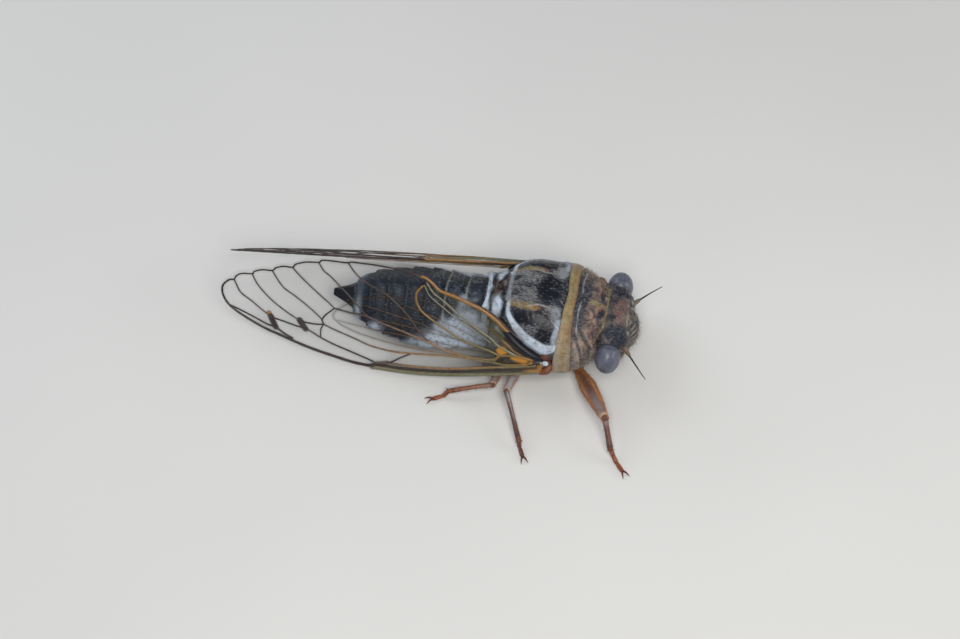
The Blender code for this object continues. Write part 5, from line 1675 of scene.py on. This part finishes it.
@dataclass
class Leg:
    """One leg: hip joint, thigh, shin, a foot of three joints, and two claws."""

    pair: Pair
    side: Side
    foot: float = 0.2
    claw: float = 0.78

    def __post_init__(self) -> None:
        """Finds where the leg bends, and its pair's sizes."""
        self.hip, self.knee, self.ankle, self.toe = (place(station, self.side.value * out, height) for station, out,
            height in LEG_LINES[(self.pair, self.side)])
        self.shape = LEG_SHAPES[self.pair]

    def build(self, skin_finish: Material, claw_finish: Material) -> None:
        """Builds the leg's skin and its claws.

        Args:
            skin_finish: The finish of the skin.
            claw_finish: The finish of the claws and spines.
        """
        skin, horn = Surface(), Surface()
        self.add_hip(skin)
        self.add_thigh(skin)
        self.add_shin(skin)
        self.add_claws(horn, self.add_foot(skin))
        self.add_thorns(horn)
        word = f"{self.pair.value}_{self.side.word}"
        skin.build(f"leg_{word}", skin_finish, "leg", (f"thigh_{word}", f"shin_{word}", f"foot_{word}"))
        horn.build(f"claws_{word}", claw_finish, "leg")

    def add_hip(self, skin: Surface) -> None:
        """Adds the stout joint between the body and the thigh.

        Args:
            skin: Where it is added.
        """
        hip, knee = self.hip, self.knee
        inward = hip + np.array([0.15, -self.side.value * 0.9, 0.55])
        line = curve([inward, (inward + hip) / 2 + [0, 0, -0.05], hip + (knee - hip) * 0.04], 8)
        skin.tube(line, np.linspace(0.75, 0.5, len(line)), sides=18, marks={"warm": 0.4, "down": 0.5, "dark": 0.25})
        skin.ball(hip + (knee - hip) * 0.03, (0.46, 0.46, 0.42), rows=14, marks={"rust": 0.5})

    def add_thigh(self, skin: Surface) -> None:
        """Adds the thigh, swollen in the front pair, with a dark streak between pale lines.

        Args:
            skin: Where it is added.
        """
        hip, knee, shape = self.hip, self.knee, self.shape
        first, middle, last = shape.thigh
        steps, sides = 60, 28
        share = np.linspace(0.02, 1, steps)
        along = unit(knee - hip)
        below = unit((self.ankle - knee) - along * ((self.ankle - knee) @ along))
        radius = np.interp(share, [0, 0.12, 0.4, 0.75, 0.93, 1], [first * 0.72, first, middle, (middle + last) / 2,
            last, last * 0.86])
        radius = np.convolve(np.pad(radius, 3, mode="edge"), np.ones(7) / 7, "valid")
        bow = -below * 0.1 * np.sin(math.pi * share)[:, None]
        line = hip + (knee - hip) * share[:, None] + bow
        turn = 2 * math.pi * np.arange(sides) / sides
        facing = np.array([0.05, self.side.value * 0.5, 0.85])
        outer = np.sin(turn)[None]
        wide = np.interp(share, [0.1, 0.35, 0.8, 0.93], [0.99, 0.97, 0.85, 0.72])[:, None]
        streak = shape.streak * ease(-0.1, 0.06, outer - wide) * ease(0.08, 0.2, share)[:, None] * ease(0.97, 0.9,
            share)[:, None]
        pale = bell(outer - wide, -0.16, 0.12) * bell(share, 0.6, 0.38)[:, None] * 0.5
        skin.tube(line, radius, radius * 0.86, up=facing, sides=sides,
            marks={"dark": streak, "pale": np.clip(pale + 0.85 * bell(share, 0.965, 0.05)[:, None], 0, 1), "wax": 0.5
            * streak * ease(0.45, 0.85, share)[:, None] + shape.grey * 0.6 * ease(0, 0.8, outer), "rust": 0.5
            * ease(-0.2, -0.8, outer) * np.ones((steps, 1)), "warm": 0.35 * bell(share, 0.3, 0.3)[:, None],
            "down": 0.1})
        skin.ball(knee, (last * 0.8,) * 3, rows=14, marks={"dark": 0.7, "rust": 0.3})

    def add_shin(self, skin: Surface) -> None:
        """Adds the shin, slightly waisted and darker towards its middle.

        Args:
            skin: Where it is added.
        """
        knee, ankle, shape = self.knee, self.ankle, self.shape
        first, middle, last = shape.shin
        steps, sides = 50, 18
        share = np.linspace(0, 1, steps)
        radius = np.interp(share, [0, 0.07, 0.5, 0.94, 1], [first * 0.85, first, middle, last, last * 0.9])
        sag = np.array([0, 0, 0.09]) * np.sin(math.pi * share)[:, None]
        line = knee + (ankle - knee) * share[:, None] + sag
        turn = 2 * math.pi * np.arange(sides) / sides
        ring = bell(share, 0.05, 0.06)[:, None] + bell(share, 0.9, 0.07)[:, None]
        skin.tube(line, radius, up=np.array([0.05, self.side.value * 0.5, 0.85]), sides=sides,
            marks={"dark": np.clip(shape.darker_shin * ease(1.3, 0.75, share)[:, None] * (0.85 + 0.15 * np.cos(turn))
            + 0.35 * ring, 0, 1), "wax": np.clip(shape.grey * bell(np.cos(turn), -0.35, 0.45)[None]
            * ease(0.8, 0.4, share)[:, None] + 0.35 * shape.darker_shin * bell(share, 0.15, 0.25)[:, None], 0, 1),
            "rust": 0.6 * ease(0.55, 1, share)[:, None], "down": 0.1})

    def add_foot(self, skin: Surface) -> Array:
        """Adds the three joints of the foot.

        Args:
            skin: Where they are added.

        Returns:
            Where the claws start.
        """
        ankle, toe = self.ankle, self.toe
        flat = unit((toe - ankle) * np.array([1, 1, 0]))
        end = toe - flat * self.claw * 0.6 + np.array([0, 0, self.foot * 0.8])
        heel = end - flat * 0.9 + np.array([0, 0, 0.04])
        for (start, stop), widths in zip(((ankle, ankle + (heel - ankle) * 0.42),
                (ankle + (heel - ankle) * 0.42, heel), (heel, end)), ((0.2, 0.22), (0.19, 0.21), (0.17, 0.2))):
            share = np.linspace(0, 1, 14)
            radius = np.interp(share, [0, 0.25, 0.85, 1], [widths[0] * 0.75, widths[0], widths[1], widths[1] * 0.85])
            skin.tube(start + (stop - start) * share[:, None], radius, radius * 0.92, sides=16,
                marks={"rust": 0.85 * (1 - 0.4 * share)[:, None], "dark": self.shape.dusky + 0.6
                * bell(share, 1, 0.12)[:, None], "down": 0.1})
        return end

    def add_claws(self, horn: Surface, end: Array) -> None:
        """Adds the two hooked claws.

        Args:
            horn: Where they are added.
            end: Where they start.
        """
        flat = unit((self.toe - end) * np.array([1, 1, 0]))
        across = np.array([-flat[1], flat[0], 0])
        for turn in (-1, 1):
            line = curve([end, end + flat * 0.3 + across * turn * 0.14 + [0, 0, 0.1], end + flat * 0.55 + across
                * turn * 0.24 + [0, 0, 0.02], np.append((end + flat * self.claw * 0.92 + across * turn * 0.3)[:2],
                0.03)], 6)
            share = np.linspace(0, 1, len(line))
            horn.tube(line, 0.11 * (1 - 0.85 * share), sides=10, marks={"rust": (0.6 * (1 - share))[:, None]})

    def add_thorns(self, horn: Surface) -> None:
        """Adds the spines of the thigh and the shin, and the crown of short spurs at the shin's end.

        Args:
            horn: Where they are added.
        """
        hip, knee, ankle, shape = self.hip, self.knee, self.ankle, self.shape
        along, down = unit(knee - hip), unit(ankle - knee)
        below = unit(down - along * (down @ along))
        for share, length, radius in shape.thigh_thorns:
            root = hip + (knee - hip) * share + below * shape.thigh[1] * 0.55
            line = curve([root, root + below * length * 0.5 + along * 0.12, root + below * length * 0.85 + along
                * 0.4], 6)
            horn.tube(line, radius * (1 - 0.88 * np.linspace(0, 1, len(line))), sides=12,
                marks={"warm": 0.7, "rust": 0.5})
        outward = unit(np.array([0, self.side.value, 0.7]))
        for share, length, radius in shape.shin_thorns:
            root = knee + (ankle - knee) * share
            line = root + unit(outward + down * 0.8) * np.linspace(0, length + 0.15, 8)[:, None]
            horn.tube(line, radius * (1 - 0.85 * np.linspace(0, 1, 8)), sides=8, marks={"rust": 0.5})
        side_way = unit(np.cross(down, np.array([0, 0, 1])))
        top_way = np.cross(side_way, down)
        for k in range(7):
            turn = 2 * math.pi * k / 7
            spoke = side_way * math.cos(turn) + top_way * math.sin(turn)
            way = unit(down * 1.2 + spoke)
            root = ankle - down * 0.08 + spoke * shape.shin[2] * 0.6
            line = root + way * np.linspace(0, 0.3, 6)[:, None]
            line[:, 2] = most(line[:, 2], 0.05)
            horn.tube(line, 0.045 * (1 - 0.8 * np.linspace(0, 1, 6)), sides=8, marks={"dark": 0.5})


# The down.


def upper(roots: Array, ways: Array) -> Array:
    """Keeps hairs on faces that look up or aside."""
    return ways[:, 2] > 0.05


@dataclass(frozen=True)
class Growth:
    """How hairs grow from a piece: how many are tried, their lengths, width, lift off the skin and lie.

    A mark may say where they are dense, and a function of their roots, from station 0, and the skin's normals says
    which are kept.
    """

    skin: str
    count: int
    length: Pair2
    width: float
    lift: float
    lie: Triple = (-1.0, 0.0, -0.15)
    wanted: str | None = "down"
    kept: Callable = upper


BACK_DOWN = (Growth("back_skin", 7000, (0.16, 0.34), 0.0135, 0.3),)
ABDOMEN_DOWN = (Growth("abdomen_skin", 4000, (0.14, 0.32), 0.0125, 0.28, kept=lambda roots, ways: roots[:, 0] < -13.2),)
FLANK_DOWN = (Growth("flank_skin", 7000, (0.3, 0.75), 0.015, 0.42, (-1.0, 0.0, -0.45), kept=lambda roots,
    ways: ways[:, 2] < 0.45),)
HEAD_HAIR = (Growth("shield_skin", 2000, (0.2, 0.55), 0.014, 0.62, wanted=None, kept=lambda roots,
    ways: (np.abs(roots[:, 1]) > 1.3) & (ways[:, 2] > -0.4)), Growth("head_skin", 800, (0.15, 0.4), 0.013, 0.6,
    (-0.4, 0.0, 0.2), None), Growth("face_skin", 1200, (0.2, 0.5), 0.013, 0.6, (0.2, 0.0, -1.0), None, lambda roots,
    ways: ways[:, 0] > -0.2))


def leg_hair() -> list[Growth]:
    """The growths of the six legs, kept off the floor."""
    return [Growth(f"leg_{pair.value}_{side.word}", 420, (0.14, 0.36), 0.012, 0.55, (0.1, side.value * 0.6, -0.6),
        None, lambda roots, ways: roots[:, 2] > 0.35) for pair in Pair for side in Side]


@dataclass
class Down:
    """The fine hairs that lie back over the body."""

    seed: int = 41

    def __post_init__(self) -> None:
        """Starts the one source of random draws."""
        self.draw = np.random.default_rng(self.seed)

    def scatter(self, growth: Growth, coat: Surface) -> None:
        """Adds the hairs of a growth to a coat.

        Args:
            growth: The hairs.
            coat: Where they are added.
        """
        mesh = bpy.data.objects[growth.skin].data
        points = np.empty(len(mesh.vertices) * 3, np.float32)
        mesh.vertices.foreach_get("co", points)
        normals = np.empty(len(mesh.vertices) * 3, np.float32)
        mesh.vertex_normals.foreach_get("vector", normals)
        points, normals = points.reshape(-1, 3) / MM, normals.reshape(-1, 3)
        mesh.calc_loop_triangles()
        corners = np.empty(len(mesh.loop_triangles) * 3, np.int32)
        mesh.loop_triangles.foreach_get("vertices", corners)
        corners = corners.reshape(-1, 3)
        sides = points[corners]
        area = np.linalg.norm(np.cross(sides[:, 1] - sides[:, 0], sides[:, 2] - sides[:, 0]), axis=1)
        if growth.wanted:
            weight = np.empty(len(mesh.vertices), np.float32)
            mesh.attributes[growth.wanted].data.foreach_get("value", weight)
            area = area * (0.01 + weight[corners].mean(axis=1) ** 1.5)
        chosen = self.draw.choice(len(corners), growth.count, p=area / area.sum())
        shares = self.draw.dirichlet((1, 1, 1), growth.count)
        roots = np.einsum("nk,nkd->nd", shares, sides[chosen])
        ways = unit(np.einsum("nk,nkd->nd", shares, normals[corners[chosen]]))
        kept = growth.kept(roots - place(0, 0, 0), ways)
        roots, ways = roots[kept], ways[kept]
        flow = np.array(growth.lie) + 0.35 * self.draw.normal(size=roots.shape)
        flow = unit(flow - ways * np.sum(flow * ways, axis=1, keepdims=True))
        heading = unit(flow * (1 - growth.lift) + ways * growth.lift)
        lengths = self.draw.uniform(*growth.length, len(roots))
        tint = self.draw.uniform(0, 1, len(roots))
        low, high = points.min(0), points.max(0)
        unwrapped = (roots - low) / (high - low)
        around = np.arctan2(unwrapped[:, 2] - 0.3, unwrapped[:, 1] - 0.5) / (2 * math.pi) + 0.5
        coat.hairs(roots - ways * 0.01, heading, lengths, growth.width, np.stack([unwrapped[:, 0], around], -1), tint)

    def build(self) -> None:
        """Builds the coats of the head and shield, the back, the flanks, the abdomen and the legs."""
        silver = HairFinish("silver_down", (0.22, 0.22, 0.23), (0.50, 0.51, 0.52)).material()
        straw = HairFinish("straw_hair", (0.2, 0.14, 0.09), (0.48, 0.42, 0.34)).material()
        for name, finish, slot, growths in (("down_back", silver, "mesonotum", BACK_DOWN),
                ("down_abdomen", silver, "abdomen", ABDOMEN_DOWN), ("down_flanks", silver, "thorax", FLANK_DOWN),
                ("hair_head", straw, "head", HEAD_HAIR), ("hair_legs", straw, "leg", leg_hair())):
            coat = Surface()
            for growth in growths:
                self.scatter(growth, coat)
            coat.build(name, finish, slot)


# The studio.


@dataclass
class Studio:
    """The camera, the lights and the floor."""

    scale: float = 11.7
    turn: float = math.radians(10)
    lift: float = math.radians(58)
    far: float = 350.0
    sensor: float = 36.0
    anchor: Triple = (7.3, -5.3, 3.5)
    anchor_pixel: Pair2 = (545.0, 371.0)
    image: tuple[int, int] = (960, 639)
    floor_reach: float = 1.5
    lights: tuple = (("key", (40.0, -90.0, 150.0), 90.0, 0.24, (1.0, 0.97, 0.93)),
        ("fill", (-120.0, 60.0, 110.0), 120.0, 0.11, (0.9, 0.95, 1.0)),
        ("front", (150.0, 20.0, 60.0), 80.0, 0.06, (1.0, 1.0, 1.0)))
    sky_colour: tuple[float, ...] = (0.86, 0.89, 0.93, 1.0)
    sky_strength: float = 0.3

    def camera(self) -> None:
        """Sets the camera over the animal's right side, far off, so that the anchor falls on its pixel."""
        right = np.array([math.cos(self.turn), math.sin(self.turn), 0.0])
        level = math.cos(self.lift)
        back = np.array([math.sin(self.turn) * level, -math.cos(self.turn) * level, math.sin(self.lift)])
        up = np.cross(back, right)
        shift = (self.image[0] / 2 - self.anchor_pixel[0], self.anchor_pixel[1] - self.image[1] / 2)
        middle = place(*self.anchor) + right * shift[0] / self.scale + up * shift[1] / self.scale
        data = bpy.data.cameras.new("camera")
        data.sensor_width = self.sensor
        data.lens = self.sensor * self.far * self.scale / self.image[0]
        data.clip_start, data.clip_end = 0.01, 50.0
        camera = bpy.data.objects.new("camera", data)
        bpy.context.scene.collection.objects.link(camera)
        matrix = Matrix([[*row] for row in np.stack([right, up, back], -1).tolist()]).to_4x4()
        matrix.translation = Vector((middle + back * self.far) * MM)
        camera.matrix_world = matrix
        bpy.context.scene.camera = camera

    def light(self, name: str, where: Triple, size: float, power: float, colour: Colour) -> None:
        """Adds a soft square light that faces the animal.

        Args:
            name: Its name.
            where: Its place, in millimetres.
            size: Its width, in millimetres.
            power: Its power in watts.
            colour: Its colour.
        """
        data = bpy.data.lights.new(name, "AREA")
        data.size = size * MM
        data.energy = power
        data.color = colour
        light = bpy.data.objects.new(name, data)
        bpy.context.scene.collection.objects.link(light)
        light.location = Vector(where) * MM
        light.rotation_euler = (-Vector(where)).to_track_quat("-Z", "Y").to_euler()

    def floor(self) -> None:
        """Adds the floor, a wide sheet at the height of the feet."""
        mesh = bpy.data.meshes.new("floor")
        far = self.floor_reach
        mesh.from_pydata([(-far, -far, 0), (far, -far, 0), (far, far, 0), (-far, far, 0)], [], [(0, 1, 2, 3)])
        mesh.materials.append(GroundFinish().material())
        sheet = bpy.data.objects.new("floor", mesh)
        bpy.context.scene.collection.objects.link(sheet)

    def build(self) -> None:
        """Sets up the whole studio."""
        self.camera()
        self.floor()
        for lamp in self.lights:
            self.light(*lamp)
        world = bpy.data.worlds.new("studio")
        world.use_nodes = True
        sky = world.node_tree.nodes["Background"]
        sky.inputs["Color"].default_value = self.sky_colour
        sky.inputs["Strength"].default_value = self.sky_strength
        bpy.context.scene.world = world
        bpy.context.scene.view_settings.view_transform = "Standard"


def main() -> None:
    """Builds the studio and then the animal, sub-assembly by sub-assembly."""
    logging.basicConfig(level=logging.INFO, format="%(message)s", stream=sys.stdout)
    for assembly in (Studio, Head, Pronotum, Back, Flanks, Abdomen):
        assembly().build()
    fore = Wing("forewing", FORE_OUTLINE, FORE_VEINS)
    hind = Wing("hindwing", HIND_OUTLINE, HIND_VEINS, depth=0.62, rows=200, columns=60, pillow=0.04, slender=0.3)
    fore_film = MembraneFinish("forewing_film").material()
    hind_film = MembraneFinish("hindwing_film", alpha=0.02).material()
    ribs = VeinFinish().material()
    for side in Side:
        fore.build(side, fore_film, ribs, f"forewing_{side.word}")
        hind.build(side, hind_film, ribs, f"hindwing_{side.word}")
    WingRoots().build()
    leg_skin, claw_horn = LEG_FINISH.material(), CLAW_FINISH.material()
    for pair in Pair:
        for side in Side:
            Leg(pair, side).build(leg_skin, claw_horn)
    Down().build()


if __name__ == "__main__":
    main()
